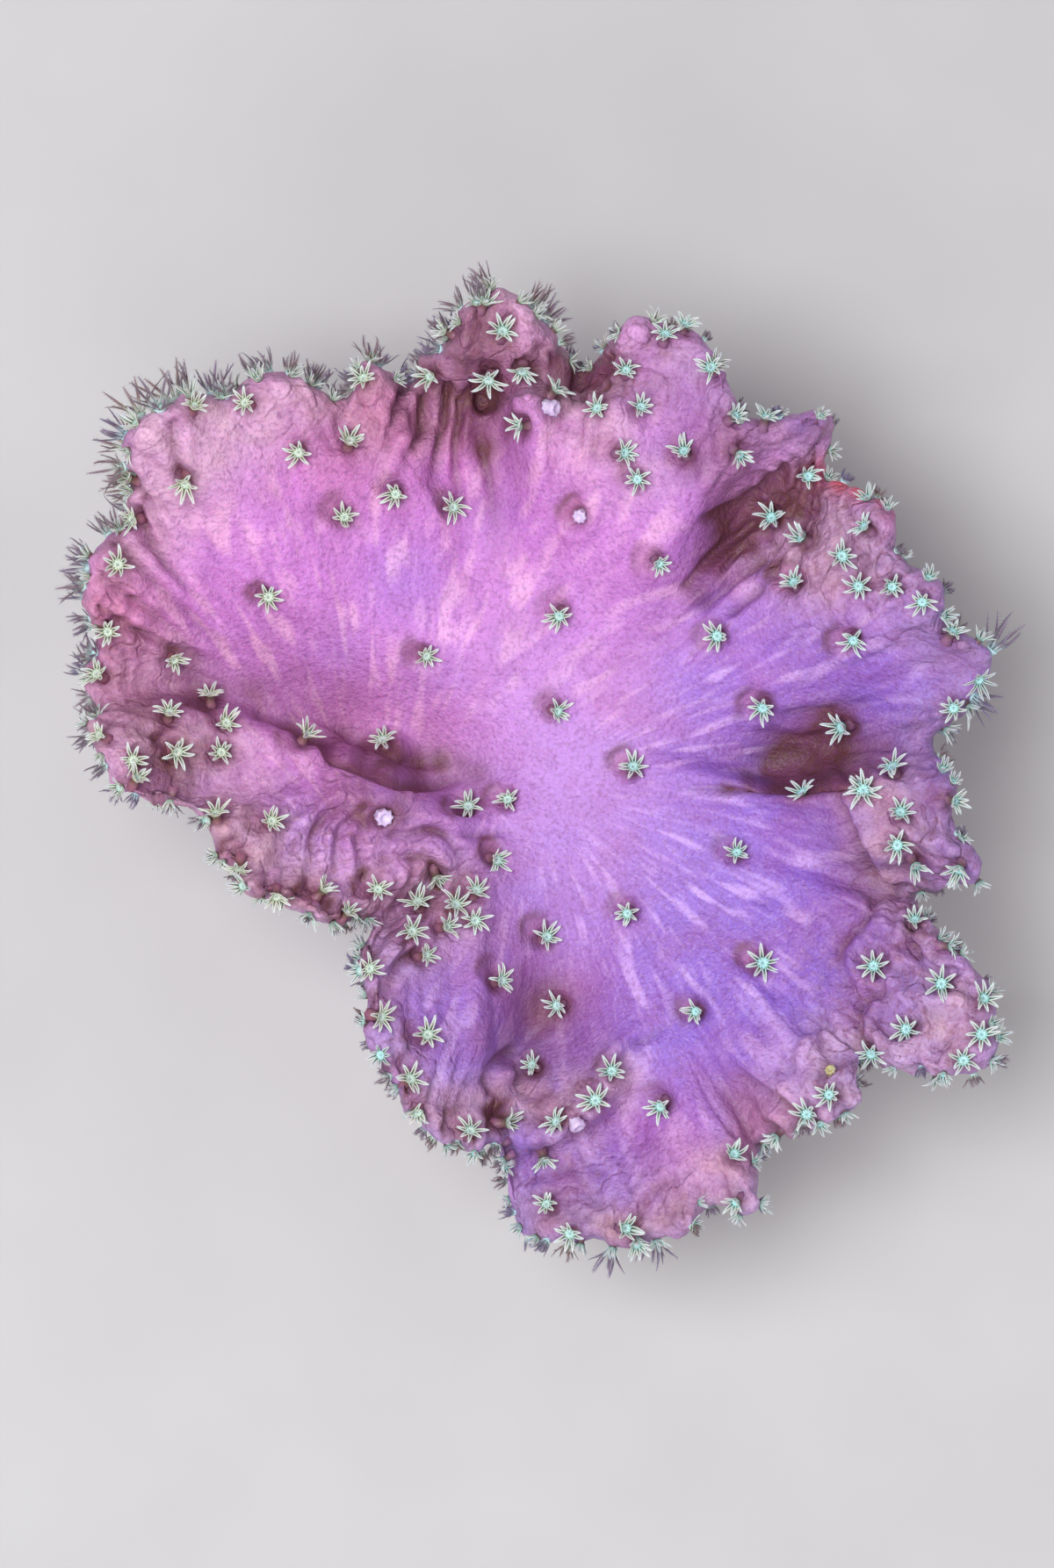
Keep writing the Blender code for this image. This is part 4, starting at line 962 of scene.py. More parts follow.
def flesh_material():
    """Leathery skin: the layers by field, clouds of tone, a pale and dark grain, a pebbled relief."""
    nodes = Nodes("coral_flesh")
    colour = nodes.mix(nodes.field("violet"), PINK, VIOLET)
    flow = nodes.add("ShaderNodeAttribute", {}, attribute_name="flow").outputs["Vector"]
    pale_streak = nodes.mix(nodes.field("violet"), *PALE_STREAK)
    dark_streak = nodes.mix(nodes.field("violet"), *DARK_STREAK)
    for size, contrast, most, tint in ((0.9, (0.52, 0.75), 0.55, dark_streak),
                                       (1.1, (0.54, 0.69), 0.88, pale_streak),
                                       (0.5, (0.55, 0.75), 0.35, pale_streak)):
        streaks = nodes.times(nodes.noise(size, 1.0, contrast, at=flow), nodes.field("streaky"))
        colour = nodes.tint(colour, streaks, most, tint)
    for field, tint, most in FLESH_LAYERS:
        if field == "salmon":
            # On the violet side the lumpy margins are lavender, and not salmon.
            tint = nodes.mix(nodes.field("violet"), tint, LAVENDER)
        colour = nodes.tint(colour, nodes.field(field), most, tint)
    # The underside is streaked along its growth, paler and darker.
    for contrast, most, tint in (((0.50, 0.70), 0.35, (0.62, 0.40, 0.60)),
                                 ((0.50, 0.32), 0.45, (0.20, 0.08, 0.20))):
        streaks = nodes.times(nodes.noise(1.3, 3.0, contrast, at=flow), nodes.field("under"))
        colour = nodes.tint(colour, streaks, most, tint)
    clouds = nodes.noise(0.0040, 5.0, (0.42, 0.72))
    colour = nodes.tint(colour, clouds, 0.36, (0.40, 0.11, 0.34))
    dark = nodes.noise(0.00038, 3.0, (0.47, 0.70))
    colour = nodes.tint(colour, dark, 0.42, (0.22, 0.05, 0.22))
    # Pale grain, fainter where the painted shade lies.
    unshaded = nodes.add("ShaderNodeMath", {0: 1.0, 1: nodes.field("stain")},
                      operation="SUBTRACT").outputs[0]
    light = nodes.times(nodes.noise(0.00024, 1.0, (0.56, 0.72)), nodes.times(unshaded, 0.14))
    colour = nodes.mix(light, colour, (0.94, 0.70, 0.96))
    flecks = nodes.times(nodes.noise(0.0008, 4.0, (0.50, 0.66)), nodes.field("folded"))
    colour = nodes.tint(colour, flecks, 0.38, (0.26, 0.08, 0.10))
    # The cut shows the pale jelly inside, with the mouths of the polyps' long tubes as dots of painted
    # shade.
    tubes = nodes.add("ShaderNodeTexVoronoi", {"Vector": nodes.place(), "Scale": 1 / TUBE_SPACING})
    tubes = nodes.spread(tubes.outputs["Distance"], 0.30, 0.18)
    jelly = nodes.mix(nodes.noise(0.004, 3.0, (0.3, 0.7)), (0.78, 0.62, 0.64), (0.66, 0.48, 0.56))
    jelly = nodes.tint(jelly, tubes, 0.7, (0.26, 0.13, 0.17))
    colour = nodes.mix(nodes.field("cut"), colour, jelly)
    # Wrinkles: painted shade in dark lines where a noise crosses its middle, only where the skin is
    # folded, with a bump sunk along the same lines.
    waver = nodes.noise(0.0030, 1.5)
    valley = nodes.spread(waver, 0.40, 0.60, -1.0)
    valley = nodes.add("ShaderNodeMath", {0: valley}, operation="ABSOLUTE").outputs[0]
    line = nodes.times(nodes.spread(valley, 0.55, 0.0), nodes.field("folded"))
    colour = nodes.tint(colour, line, 0.20, (0.20, 0.05, 0.09))
    wrinkles = nodes.bump(nodes.times(line, -1.0), 0.0004, 0.5)
    pebbles = nodes.bump(nodes.noise(0.0007, 3.0), 0.0005, 0.45, under=wrinkles)
    pores = nodes.bump(nodes.noise(0.00025, 2.0), 0.0002, 0.55, under=pebbles)
    return nodes.finish(colour, pores, roughness=0.52, subsurface_weight=0.18, subsurface_scale=0.0015)


flesh.data.materials.append(flesh_material())
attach(flesh, "root")
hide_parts("coral_colony")

# --------------------------------------------------------------------------------------------------------
# The open polyps. Each is a short soft column that flares to a small disc with a mouth, and carries eight
# tapered tentacles in a ring, every tentacle with a row of fine fins, the pinnules, down each side.
# --------------------------------------------------------------------------------------------------------
ARMS = 8
COLUMN_SIDES = 8
ARM_STATIONS = np.array([0.0, 0.22, 0.46, 0.70, 0.90, 1.0])
# The column from its foot in the flesh to the lip of the disc and in to the mouth: (radius, height).
COLUMN_PROFILE = np.array([(0.54, -0.60), (0.38, -0.10), (0.31, 0.25), (0.37, 0.50), (0.48, 0.62),
                           (0.41, 0.68), (0.25, 0.64), (0.11, 0.62), (0.05, 0.48)])
CROWN_HEIGHT = 0.62
# How much the tentacles of one polyp differ: in their turn, their slope at the root and at the tip and
# their sideways sway, in radians, and in their length.
TURN_SPREAD, ROOT_SPREAD, TIP_SPREAD, SWAY_SPREAD = 0.09, 0.14, 0.38, 0.18
TENTACLE_LENGTHS = (0.66, 1.14)
# A pinnule leans outward and forward by these shares of its length.
PINNULE_OUT, PINNULE_FORWARD = 0.62, 0.76
PINNULE_THICKNESS = 0.028
PINNULE_LENGTHS = (0.7, 1.15)
# The tentacles of the open skin: a blunt gutter between two raised pale edges, with a clear floor that
# is dark where it leaves the disc. section is (across, up) for a half-width of 1, and clear how
# clear each corner is.
OPEN_ARM = dict(root=0.31, width=0.160, pinnule=0.22, pairs=6, blunt=3.0,
                section=np.array([(1.0, 0.05), (0.88, 0.45), (0.58, 0.40), (0.40, -0.10),
                                  (-0.40, -0.10), (-0.58, 0.40), (-0.88, 0.45), (-1.0, 0.05),
                                  (-0.5, -0.40), (0.5, -0.40)]),
                clear=np.array([0.0, 0.0, 0.0, 1.0, 1.0, 0.0, 0.0, 0.0, 0.5, 0.5]))


def round_section(sides):
    """The corners of an even polygon of radius 1."""
    turns = np.arange(sides) * 2 * np.pi / sides
    return np.column_stack([np.cos(turns), np.sin(turns)])


def closed_tubes(centres, across, up, widths, section):
    """Many tubes at once, as (points, faces): at each station the section's corners round its centre.

    The arrays run over tubes, stations and coordinates. Both ends are closed with a flat face.
    """
    ring = section[:, :1] * across[:, :, None] + section[:, 1:] * up[:, :, None]
    points = centres[:, :, None, :] + ring * widths[:, :, None, None]
    count, stations = centres.shape[:2]
    sides = len(section)
    starts = (np.arange(count) * stations * sides)[:, None]
    walls = (starts[:, :, None] + grid_faces(stations, sides)[None]).reshape(-1, 4)
    near = starts + np.arange(sides)[None]
    far = starts + (stations - 1) * sides + np.arange(sides)[None]
    return points.reshape(-1, 3), [walls, near, far[:, ::-1]]


def spikes(feet, tips, across, up, thickness):
    """Many thin three-sided spikes at once, as (points, faces)."""
    turns = np.arange(3) * 2 * np.pi / 3
    ring = np.cos(turns)[:, None] * across[:, None] + np.sin(turns)[:, None] * up[:, None]
    points = np.concatenate([feet[:, None] + ring * thickness, tips[:, None]], axis=1)
    starts = (np.arange(len(feet)) * 4)[:, None, None]
    sides = np.array([(0, 1, 3), (1, 2, 3), (2, 0, 3), (0, 2, 1)])
    return points.reshape(-1, 3), [(starts + sides[None]).reshape(-1, 3)]


def crown_axes(axis, spin):
    """Two directions square to each axis and to each other, turned by spin."""
    helper = np.where(abs(axis[:, :1]) < 0.9, [[1.0, 0.0, 0.0]], [[0.0, 1.0, 0.0]])
    side = np.cross(axis, helper)
    side /= np.linalg.norm(side, axis=1, keepdims=True)
    ahead = np.cross(axis, side)
    cos, sin = np.cos(spin)[:, None], np.sin(spin)[:, None]
    return side * cos + ahead * sin, ahead * cos - side * sin


def join(parts):
    """Several (points, faces) as one, with the faces' numbers moved on."""
    points, faces, start = [], [], 0
    for some, groups in parts:
        points.append(some)
        faces += [group + start for group in groups]
        start += len(some)
    return np.concatenate(points), faces


def grow_crowns(foot, axis, size, length, slopes, kind, draw, box):
    """Open polyps at once, as (points, faces, reach, middle): columns, tentacles and pinnules.

    A tentacle is an arc whose slope turns evenly from the first to the second of its polyp's slopes, and
    it keeps nearly its width to a tip that is blunter the higher its kind's power is. Its pinnules stand
    in pairs, forward and outward. reach runs from 0 at a column's foot over 0.4 at the disc to 1 at a
    tentacle's tip, and middle is above 0 down the middle of a tentacle. No tip reaches outside the box.
    """
    count = len(foot)
    side, ahead = crown_axes(axis, draw.uniform(0, 2 * np.pi, count))
    radius, height = COLUMN_PROFILE.T
    centres = foot[:, None] + axis[:, None] * (height[None, :, None] * size[:, None, None])
    shape = (count, len(height))
    column = closed_tubes(centres, np.broadcast_to(side[:, None], (*shape, 3)),
                          np.broadcast_to(ahead[:, None], (*shape, 3)),
                          radius[None] * size[:, None], round_section(COLUMN_SIDES))
    column_reach = np.repeat(np.tile(np.linspace(0, 0.4, len(height)), count), COLUMN_SIDES)

    turn = (np.arange(ARMS) * 2 * np.pi / ARMS)[None] + draw.normal(0, TURN_SPREAD, (count, ARMS))
    out = (np.cos(turn)[..., None] * side[:, None] + np.sin(turn)[..., None] * ahead[:, None])
    tangent = (np.cos(turn)[..., None] * ahead[:, None] - np.sin(turn)[..., None] * side[:, None])
    arm = length[:, None] * size[:, None] * draw.uniform(*TENTACLE_LENGTHS, (count, ARMS))
    low = np.radians(slopes[:, :1]) + draw.normal(0, ROOT_SPREAD, (count, ARMS))
    high = np.radians(slopes[:, 1:]) + draw.normal(0, TIP_SPREAD, (count, ARMS))
    sway = draw.normal(0, SWAY_SPREAD, (count, ARMS))
    up = np.broadcast_to(axis[:, None], out.shape)
    disc = foot + axis * (CROWN_HEIGHT * size)[:, None]
    root = disc[:, None] + out * (kind["root"] * size)[:, None, None]

    def on_arm(t):
        """Centre, direction and upper side of each tentacle at shares t of its length."""
        slope = low[..., None] + (high - low)[..., None] * t
        bend = (high - low)[..., None]
        bend = np.where(abs(bend) < 1e-3, 1e-3, bend)
        ahead_by = arm[..., None] * (np.sin(slope) - np.sin(low)[..., None]) / bend
        rise_by = arm[..., None] * (np.cos(low)[..., None] - np.cos(slope)) / bend
        centre = (root[:, :, None] + out[:, :, None] * ahead_by[..., None]
                  + up[:, :, None] * rise_by[..., None]
                  + tangent[:, :, None] * (sway[..., None] * arm[..., None] * t ** 2)[..., None])
        forward = out[:, :, None] * np.cos(slope)[..., None] + up[:, :, None] * np.sin(slope)[..., None]
        above = up[:, :, None] * np.cos(slope)[..., None] - out[:, :, None] * np.sin(slope)[..., None]
        return centre, forward, above

    tip = on_arm(np.ones(1))[0][:, :, 0]
    over = np.maximum(tip - box[1], box[0] - tip).max(axis=-1) + 0.15
    arm *= 1 - np.clip(over / arm, 0, 0.85)
    t = ARM_STATIONS
    centre, forward, above = on_arm(t)
    tangents = np.broadcast_to(tangent[:, :, None], centre.shape)
    taper = (1 - t ** kind["blunt"]) ** 0.6 * (0.80 + 0.15 * t) + 0.10
    wide = kind["width"] * taper[None, None] * size[:, None, None] * np.ones((count, ARMS, 1))
    flat = (count * ARMS, len(t))
    # A ring runs from the tentacle's side over its top, so that with its stations its faces point out.
    arms = closed_tubes(centre.reshape(*flat, 3), -tangents.reshape(*flat, 3), above.reshape(*flat, 3),
                        wide.reshape(flat), kind["section"])
    arm_reach = np.repeat(np.tile(0.4 + 0.6 * t, count * ARMS), len(kind["section"]))
    arm_middle = np.tile(kind["clear"], count * ARMS * len(t))

    at = np.linspace(0.14, 0.96, kind["pairs"])
    centre, forward, above = on_arm(at)
    fins, fin_reach = [], []
    for hand in (-1, 1):
        sideways = hand * np.broadcast_to(tangent[:, :, None], centre.shape)
        half = np.interp(at, t, 0.8 * kind["width"] * taper)[:, None] * size[:, None, None, None]
        feet = centre + sideways * half
        long = kind["pinnule"] * size[:, None, None] * (1 - 0.40 * at)[None, None]
        long = long * draw.uniform(*PINNULE_LENGTHS, centre.shape[:3])
        upward = draw.normal(0.10, 0.22, (*centre.shape[:3], 1))
        lean = sideways * PINNULE_OUT + forward * PINNULE_FORWARD + above * upward
        tips = np.clip(feet + lean * long[..., None], *box)
        fins.append(spikes(feet.reshape(-1, 3), tips.reshape(-1, 3), forward.reshape(-1, 3),
                           (above * hand).reshape(-1, 3), PINNULE_THICKNESS))
        share = np.broadcast_to(0.4 + 0.6 * at, centre.shape[:3]).ravel()
        fin_reach.append(np.stack([share, share, share, np.minimum(share + 0.25, 1.0)], axis=1).ravel())
    points, faces = join([column, arms, *fins])
    points = np.clip(points, *box)
    reach = np.concatenate([column_reach, arm_reach, *fin_reach])
    middle = np.zeros(len(reach))
    middle[len(column_reach):][:len(arm_middle)] = arm_middle
    return points, faces, reach, middle


def crown_attribute(per_crown, sizes):
    """A value of each polyp, repeated for its points in each of its groups of points."""
    return np.concatenate([np.repeat(per_crown, size) for size in sizes])


def clear_of_skin(rows, columns, reach=3, most=0.45):
    """Feet at these grid places, each raised so that the skin close round it stays below the disc."""
    feet, axes = grid[rows, columns], plain_normals[rows, columns]
    steps = np.arange(-reach, reach + 1)
    near_rows = np.clip(rows[:, None, None] + steps[None, :, None], 0, top_rows - 1)
    near_columns = (columns[:, None, None] + steps[None, None, :]) % COLUMNS
    heights = ((grid[near_rows, near_columns] - feet[:, None, None]) * axes[:, None, None]).sum(axis=-1)
    return feet + axes * np.clip(heights.max(axis=(1, 2)) - 0.15, 0, most)[:, None]


draw = np.random.default_rng(21)
open_foot = clear_of_skin(open_rows, open_columns)
open_axis = plain_normals[open_rows, open_columns] + 0.5 * fine_normals[open_rows, open_columns]
open_axis += draw.normal(0, 0.34, open_axis.shape)
# Those in the middle of the disc lean to the lower right, those further out lean outwards, and all
# stand a little more upright than the skin does.
out_by = np.hypot(open_foot[:, 0], open_foot[:, 1])
open_axis += (out_by < 22)[:, None] * np.array([0.25, -0.10, 0.0])
outward = np.column_stack([open_foot[:, :2] / out_by[:, None], np.zeros(len(open_foot))])
open_axis += 0.40 * smooth_step(out_by, 22, 34)[:, None] * (outward + [0, 0.45, 0]) + [0, 0, 0.30]
open_axis /= np.linalg.norm(open_axis, axis=1, keepdims=True)
open_size = draw.uniform(0.98, 1.24, len(open_foot))
open_slope = draw.uniform(34, 64, len(open_foot))
open_slopes = np.column_stack([open_slope, open_slope - draw.uniform(5, 50, len(open_foot))])
box = np.array(cad_box) / MM
points, faces, reach, middle = grow_crowns(open_foot, open_axis, open_size, np.full(len(open_foot), 1.16),
                                           open_slopes, OPEN_ARM, draw, box)


def group_sizes(kind):
    """How many points one polyp has in its column, its tentacles and its two sides of pinnules."""
    fins = ARMS * kind["pairs"] * 4
    arms = ARMS * len(ARM_STATIONS) * len(kind["section"])
    return [len(COLUMN_PROFILE) * COLUMN_SIDES, arms, fins, fins]


mint = smooth_step(open_foot[:, 0], -25, 20)
open_polyps = fill_mesh("open_polyps", points, faces, reach=reach, middle=middle,
                        mint=crown_attribute(mint, group_sizes(OPEN_ARM)))


def polyp_material(name, stops, dark_stops, clear_stops):
    """Soft clear tissue: colours along the polyp from foot to tip, in two kinds that are mixed by polyp.

    Down the middle of each tentacle the tissue is clear, with colours of its own.
    """
    nodes = Nodes(name)
    ramps = []
    for rows in (stops, dark_stops, clear_stops):
        ramp = nodes.add("ShaderNodeValToRGB", {"Fac": nodes.field("reach")})
        stations = ramp.color_ramp.elements
        for station, (position, colour) in zip(stations, (rows[0], rows[-1])):
            station.position, station.color = position, rgba(colour)
        for position, colour in rows[1:-1]:
            stations.new(position).color = rgba(colour)
        ramps.append(ramp.outputs["Color"])
    colour = nodes.mix(nodes.field("mint"), ramps[1], ramps[0])
    colour = nodes.mix(nodes.field("middle"), colour, ramps[2])
    grains = nodes.noise(0.0003, 2.0, (0.5, 0.72))
    colour = nodes.tint(colour, grains, 0.25, (0.34, 0.28, 0.26))
    normal = nodes.bump(nodes.noise(0.0002, 2.0), 0.0001, 0.3)
    return nodes.finish(colour, normal, roughness=0.50, subsurface_weight=0.25, subsurface_scale=0.0008)


MINT_STOPS = [(0.0, (0.36, 0.15, 0.34)), (0.10, (0.18, 0.09, 0.11)), (0.19, (0.12, 0.13, 0.12)),
              (0.25, (0.46, 0.79, 0.73)), (0.32, (0.50, 0.80, 0.83)), (0.40, (0.27, 0.48, 0.49)),
              (0.46, (0.54, 0.84, 0.76)), (0.66, (0.77, 0.90, 0.83)), (1.0, (0.92, 0.92, 0.92))]
CREAM_STOPS = [(0.0, (0.42, 0.15, 0.26)), (0.10, (0.20, 0.09, 0.08)), (0.19, (0.14, 0.12, 0.09)),
               (0.25, (0.72, 0.76, 0.56)), (0.32, (0.66, 0.74, 0.64)), (0.40, (0.36, 0.42, 0.38)),
               (0.46, (0.74, 0.80, 0.58)), (0.66, (0.86, 0.88, 0.72)), (1.0, (0.94, 0.92, 0.88))]
CLEAR_STOPS = [(0.40, (0.40, 0.66, 0.62)), (0.44, (0.05, 0.08, 0.07)), (0.58, (0.12, 0.14, 0.13)),
               (0.76, (0.46, 0.46, 0.48)), (1.0, (0.80, 0.80, 0.84))]
open_polyps.data.materials.append(polyp_material("open_polyp", MINT_STOPS, CREAM_STOPS, CLEAR_STOPS))
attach(open_polyps, "root")

# --------------------------------------------------------------------------------------------------------
# The polyps of the margin. They stand along the rounded edge and open outwards like shuttlecocks. Bright
# mint cups are its front row, and under and between them stand the feathers, whose tentacles are long,
# slate-dark and clear.
# --------------------------------------------------------------------------------------------------------
RIM_CUP_ARM = dict(OPEN_ARM, root=0.34, width=0.155, pinnule=0.24)
FEATHER_ARM = dict(root=0.28, width=0.12, pinnule=0.55, pairs=10, blunt=2.2,
                   section=np.array([(1.0, 0.40), (0.50, 0.0), (-0.50, 0.0), (-1.0, 0.40), (-0.55, -0.5),
                                     (0.55, -0.5)]),
                   clear=np.array([0.0, 0.8, 0.8, 0.0, 0.3, 0.3]))
# Round the margin: (angle, tentacle length in mm, spacing in mm).
RIM_CUPS = np.array([
    (3, 1.1, 5.0), (12, 1.9, 3.4), (18, 1.2, 4.4), (50, 1.1, 4.4), (75, 1.1, 4.2), (94, 1.4, 2.2),
    (105, 1.0, 4.0), (112, 1.2, 3.4), (122, 1.5, 2.6), (138, 1.6, 2.6), (150, 1.2, 3.2),
    (175, 1.1, 3.4), (188, 1.2, 2.7), (205, 1.3, 2.4), (222, 1.3, 2.6), (234, 1.1, 3.4),
    (250, 1.2, 2.4), (258, 1.3, 2.1), (265, 1.1, 2.8), (280, 1.3, 2.8), (300, 1.1, 3.4),
    (320, 1.1, 3.6), (327, 1.3, 2.2), (335, 1.2, 3.0), (345, 1.1, 4.2),
])
FEATHERS = np.array([
    (5, 1.2, 6.0), (11, 2.6, 4.0), (16, 2.6, 4.0), (22, 1.2, 6.0), (60, 1.0, 6.0), (84, 1.2, 3.4),
    (91, 2.6, 2.6), (97, 2.2, 2.2), (106, 2.1, 1.8), (118, 2.1, 1.7), (128, 2.1, 1.7),
    (134, 2.7, 1.7), (138, 2.9, 1.7), (144, 2.2, 1.7), (155, 2.2, 1.7), (170, 2.0, 1.7),
    (180, 1.8, 2.1), (190, 1.1, 4.0), (210, 1.1, 4.0), (225, 1.2, 3.4), (245, 1.3, 2.8),
    (262, 1.6, 2.0), (268, 1.3, 3.0), (278, 2.4, 3.4), (284, 2.4, 3.4), (290, 1.2, 4.0),
    (300, 1.2, 6.0), (325, 1.3, 4.0), (345, 1.0, 6.0),
])


def rim_places(table, rolls):
    """Polyps' feet along the edge, the way each faces, and its tentacles' length, as the table says.

    The polyps take the rolls in turn, so they stand high and low on the edge. A foot lies a little inside
    the flesh.
    """
    line = grid[SKIN_ROWS + EDGE_ROWS // 2]
    steps = np.linalg.norm(np.diff(line, axis=0, append=line[:1]), axis=1)
    along = np.cumsum(steps / np.interp(angles, table[:, 0], table[:, 2], period=360))
    columns = np.searchsorted(along, np.arange(0.5, along[-1]))
    columns = np.clip(columns + draw.integers(-2, 3, len(columns)), 0, COLUMNS - 1)
    rolls = np.array(rolls)[np.arange(len(columns)) % len(rolls)]
    rows = SKIN_ROWS + np.round(rolls * (EDGE_ROWS - 1)).astype(int)
    axis = plain_normals[rows, columns] + draw.normal(0, 0.18, (len(rows), 3)) + [0, 0, 0.15]
    axis /= np.linalg.norm(axis, axis=1, keepdims=True)
    foot = grid[rows, columns] - 0.4 * plain_normals[rows, columns]
    return foot, axis, np.interp(angles[columns], table[:, 0], table[:, 1], period=360)


cup_foot, cup_axis, cup_length = rim_places(RIM_CUPS, (0.1, 0.4, 0.25))
cup_size = draw.uniform(0.75, 1.0, len(cup_foot))
cup_slope = draw.uniform(48, 70, len(cup_foot))
cup_slopes = np.column_stack([cup_slope, cup_slope - draw.uniform(0, 30, len(cup_foot))])
points, faces, reach, middle = grow_crowns(cup_foot, cup_axis, cup_size, cup_length, cup_slopes,
                                           RIM_CUP_ARM, draw, box)
cup_mint = 0.35 + 0.65 * smooth_step(cup_foot[:, 0] - cup_foot[:, 1], -30, 15)
rim_cups = fill_mesh("rim_cups", points, faces, reach=reach, middle=middle,
                     mint=crown_attribute(cup_mint, group_sizes(RIM_CUP_ARM)))
CUP_CLEAR_STOPS = [(0.40, (0.44, 0.80, 0.76)), (0.45, (0.04, 0.07, 0.07)), (0.62, (0.10, 0.14, 0.16)),
                   (1.0, (0.46, 0.44, 0.60))]
rim_cups.data.materials.append(polyp_material("rim_cup", MINT_STOPS, CREAM_STOPS, CUP_CLEAR_STOPS))
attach(rim_cups, "root")

feather_foot, feather_axis, feather_length = rim_places(FEATHERS, (0.45, 0.75, 0.30, 0.60))
feather_size = draw.uniform(0.85, 1.10, len(feather_foot))
feather_size *= 0.85 + 0.35 * smooth_step(feather_length, 1.8, 2.6)
feather_slope = draw.uniform(46, 72, len(feather_foot))
feather_slopes = np.column_stack([feather_slope, feather_slope + draw.uniform(0, 28, len(feather_foot))])
points, faces, reach, middle = grow_crowns(feather_foot, feather_axis, feather_size, feather_length,
                                           feather_slopes, FEATHER_ARM, draw, box)
bluish = draw.uniform(0, 1, len(feather_foot))
rim_polyps = fill_mesh("rim_polyps", points, faces, reach=reach, middle=middle,
                       mint=crown_attribute(bluish, group_sizes(FEATHER_ARM)))
SLATE_STOPS = [(0.0, (0.34, 0.20, 0.28)), (0.15, (0.62, 0.80, 0.74)), (0.35, (0.76, 0.92, 0.78)),
               (0.52, (0.72, 0.84, 0.66)), (0.68, (0.26, 0.19, 0.18)), (1.0, (0.36, 0.26, 0.28))]
NAVY_STOPS = [(0.0, (0.30, 0.18, 0.34)), (0.15, (0.55, 0.80, 0.84)), (0.35, (0.62, 0.90, 0.92)),
              (0.52, (0.56, 0.70, 0.80)), (0.68, (0.15, 0.14, 0.27)), (1.0, (0.26, 0.24, 0.46))]
FEATHER_CLEAR_STOPS = [(0.40, (0.22, 0.30, 0.30)), (0.60, (0.12, 0.10, 0.14)), (1.0, (0.22, 0.18, 0.26))]
rim_polyps.data.materials.append(
    polyp_material("rim_polyp", NAVY_STOPS, SLATE_STOPS, FEATHER_CLEAR_STOPS))
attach(rim_polyps, "root")

# --------------------------------------------------------------------------------------------------------
# The closed polyps. A few have drawn in their tentacles and stand as smooth, pale knobs; one at the lower
# right is a yellow bud that sits in a cup of skin.
# --------------------------------------------------------------------------------------------------------
KNOB_PROFILE = np.array([(0.70, -0.4), (0.66, 0.1), (0.60, 0.45), (0.78, 0.85), (0.70, 1.15),
                         (0.46, 1.20), (0.26, 0.90), (0.10, 0.85)])
KNOB_SIDES = 16
KNOB_FLUTES = 0.13
CLOSED_SIZES = (0.8, 1.0, 0.9, 0.9, 0.62)
closed_foot = grid[closed_rows, closed_columns]
closed_axis = plain_normals[closed_rows, closed_columns]
side, ahead = crown_axes(closed_axis, np.zeros(len(closed_foot)))
closed_size = np.array(CLOSED_SIZES)[:, None]
knob_radius, knob_height = closed_size * KNOB_PROFILE[:, 0], closed_size * KNOB_PROFILE[:, 1]
centres = closed_foot[:, None] + closed_axis[:, None] * knob_height[..., None]
shape = centres.shape
knob_section = round_section(KNOB_SIDES) * (1 + KNOB_FLUTES * (-1) ** np.arange(KNOB_SIDES))[:, None]
points, faces = closed_tubes(centres, np.broadcast_to(side[:, None], shape),
                             np.broadcast_to(ahead[:, None], shape), knob_radius, knob_section)
yellow = (np.arange(len(closed_foot)) == len(closed_foot) - 1).astype(float)
closed_polyps = fill_mesh("closed_polyps", points, faces,
                          bud=np.repeat(yellow, len(KNOB_PROFILE) * KNOB_SIDES))


def closed_material():
    """The knobs' pale violet, and the bud's yellow."""
    nodes = Nodes("closed_polyp")
    colour = nodes.mix(nodes.field("bud"), (0.72, 0.56, 0.86), (0.56, 0.50, 0.26))
    colour = nodes.tint(colour, nodes.noise(0.0006, 3.0, (0.5, 0.7)), 0.4, (0.9, 0.88, 0.9))
    normal = nodes.bump(nodes.noise(0.0004, 2.0), 0.0002, 0.4)
    return nodes.finish(colour, normal, roughness=0.4, subsurface_weight=0.2, subsurface_scale=0.001)


closed_polyps.data.materials.append(closed_material())
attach(closed_polyps, "root")

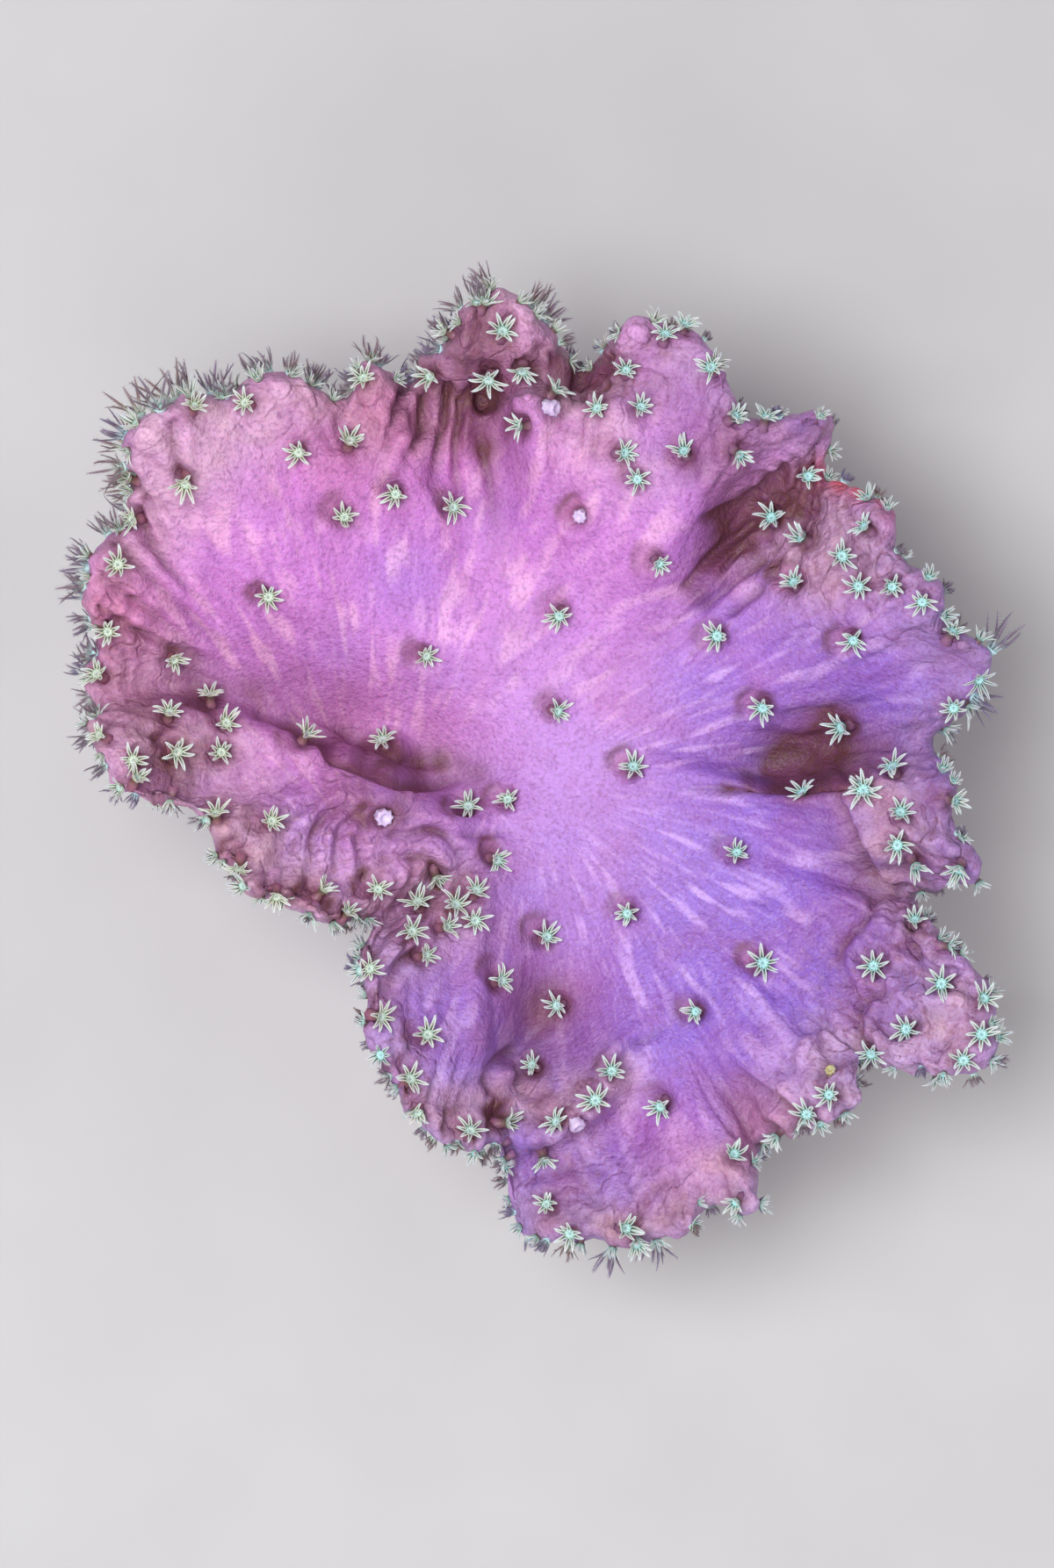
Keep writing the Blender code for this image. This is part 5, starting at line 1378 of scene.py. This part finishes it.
# --------------------------------------------------------------------------------------------------------
# The setting: a plain pale floor that the cut foot stands on, soft studio light from three sides, and a
# camera that looks straight down into the bowl.
# --------------------------------------------------------------------------------------------------------
FLOOR_RADIUS = 1.5
FLOOR_SIDES = 64
CAMERA_DISTANCE = 0.45
CAMERA_PLANE = 0.034
VIEW_HEIGHT = 0.134
SENSOR = 36.0
CAMERA_XY = (-0.00075, -0.000225)
ROOM_COLOUR = (0.80, 0.80, 0.82)
ROOM_LIGHT = 0.32


def pale_floor():
    """A wide disc of pale matt card, with the faintest mottle."""
    ring = np.column_stack([round_section(FLOOR_SIDES), np.zeros(FLOOR_SIDES)]) * FLOOR_RADIUS / MM
    floor = fill_mesh("floor", np.concatenate([ring, [[0, 0, 0]]]),
                      [pole_faces(FLOOR_SIDES, np.arange(FLOOR_SIDES))])
    nodes = Nodes("floor_card")
    mottle = nodes.noise(0.02, 2.0, (0.3, 0.7))
    colour = nodes.mix(mottle, (0.60, 0.59, 0.60), (0.63, 0.62, 0.63))
    normal = nodes.bump(nodes.noise(0.002, 2.0), 0.0001, 0.1)
    floor.data.materials.append(nodes.finish(colour, normal, roughness=0.9))
    return floor


def soft_light(name, place, size, watts):
    """A square soft box that faces the middle of the colony."""
    light = bpy.data.lights.new(name, "AREA")
    light.size = size
    light.energy = watts
    lamp = bpy.data.objects.new(name, light)
    lamp.location = place
    aim = Vector((0, 0, CAMERA_PLANE)) - Vector(place)
    lamp.rotation_euler = aim.to_track_quat("-Z", "Y").to_euler()
    bpy.context.scene.collection.objects.link(lamp)


pale_floor()
soft_light("key", (-0.13, 0.02, 0.53), 0.22, 2.15)
soft_light("fill", (0.45, 0.05, 0.40), 0.50, 0.5)
soft_light("back", (-0.10, -0.45, 0.40), 0.40, 0.85)

world = bpy.data.worlds.new("studio")
world.use_nodes = True
world.node_tree.nodes["Background"].inputs["Color"].default_value = rgba(ROOM_COLOUR)
world.node_tree.nodes["Background"].inputs["Strength"].default_value = ROOM_LIGHT
bpy.context.scene.world = world
bpy.context.scene.view_settings.view_transform = "Standard"

camera = bpy.data.objects.new("camera", bpy.data.cameras.new("camera"))
camera.data.sensor_width = SENSOR
camera.data.lens = SENSOR * CAMERA_DISTANCE / VIEW_HEIGHT
camera.location = (*CAMERA_XY, CAMERA_PLANE + CAMERA_DISTANCE)
bpy.context.scene.collection.objects.link(camera)
bpy.context.scene.camera = camera
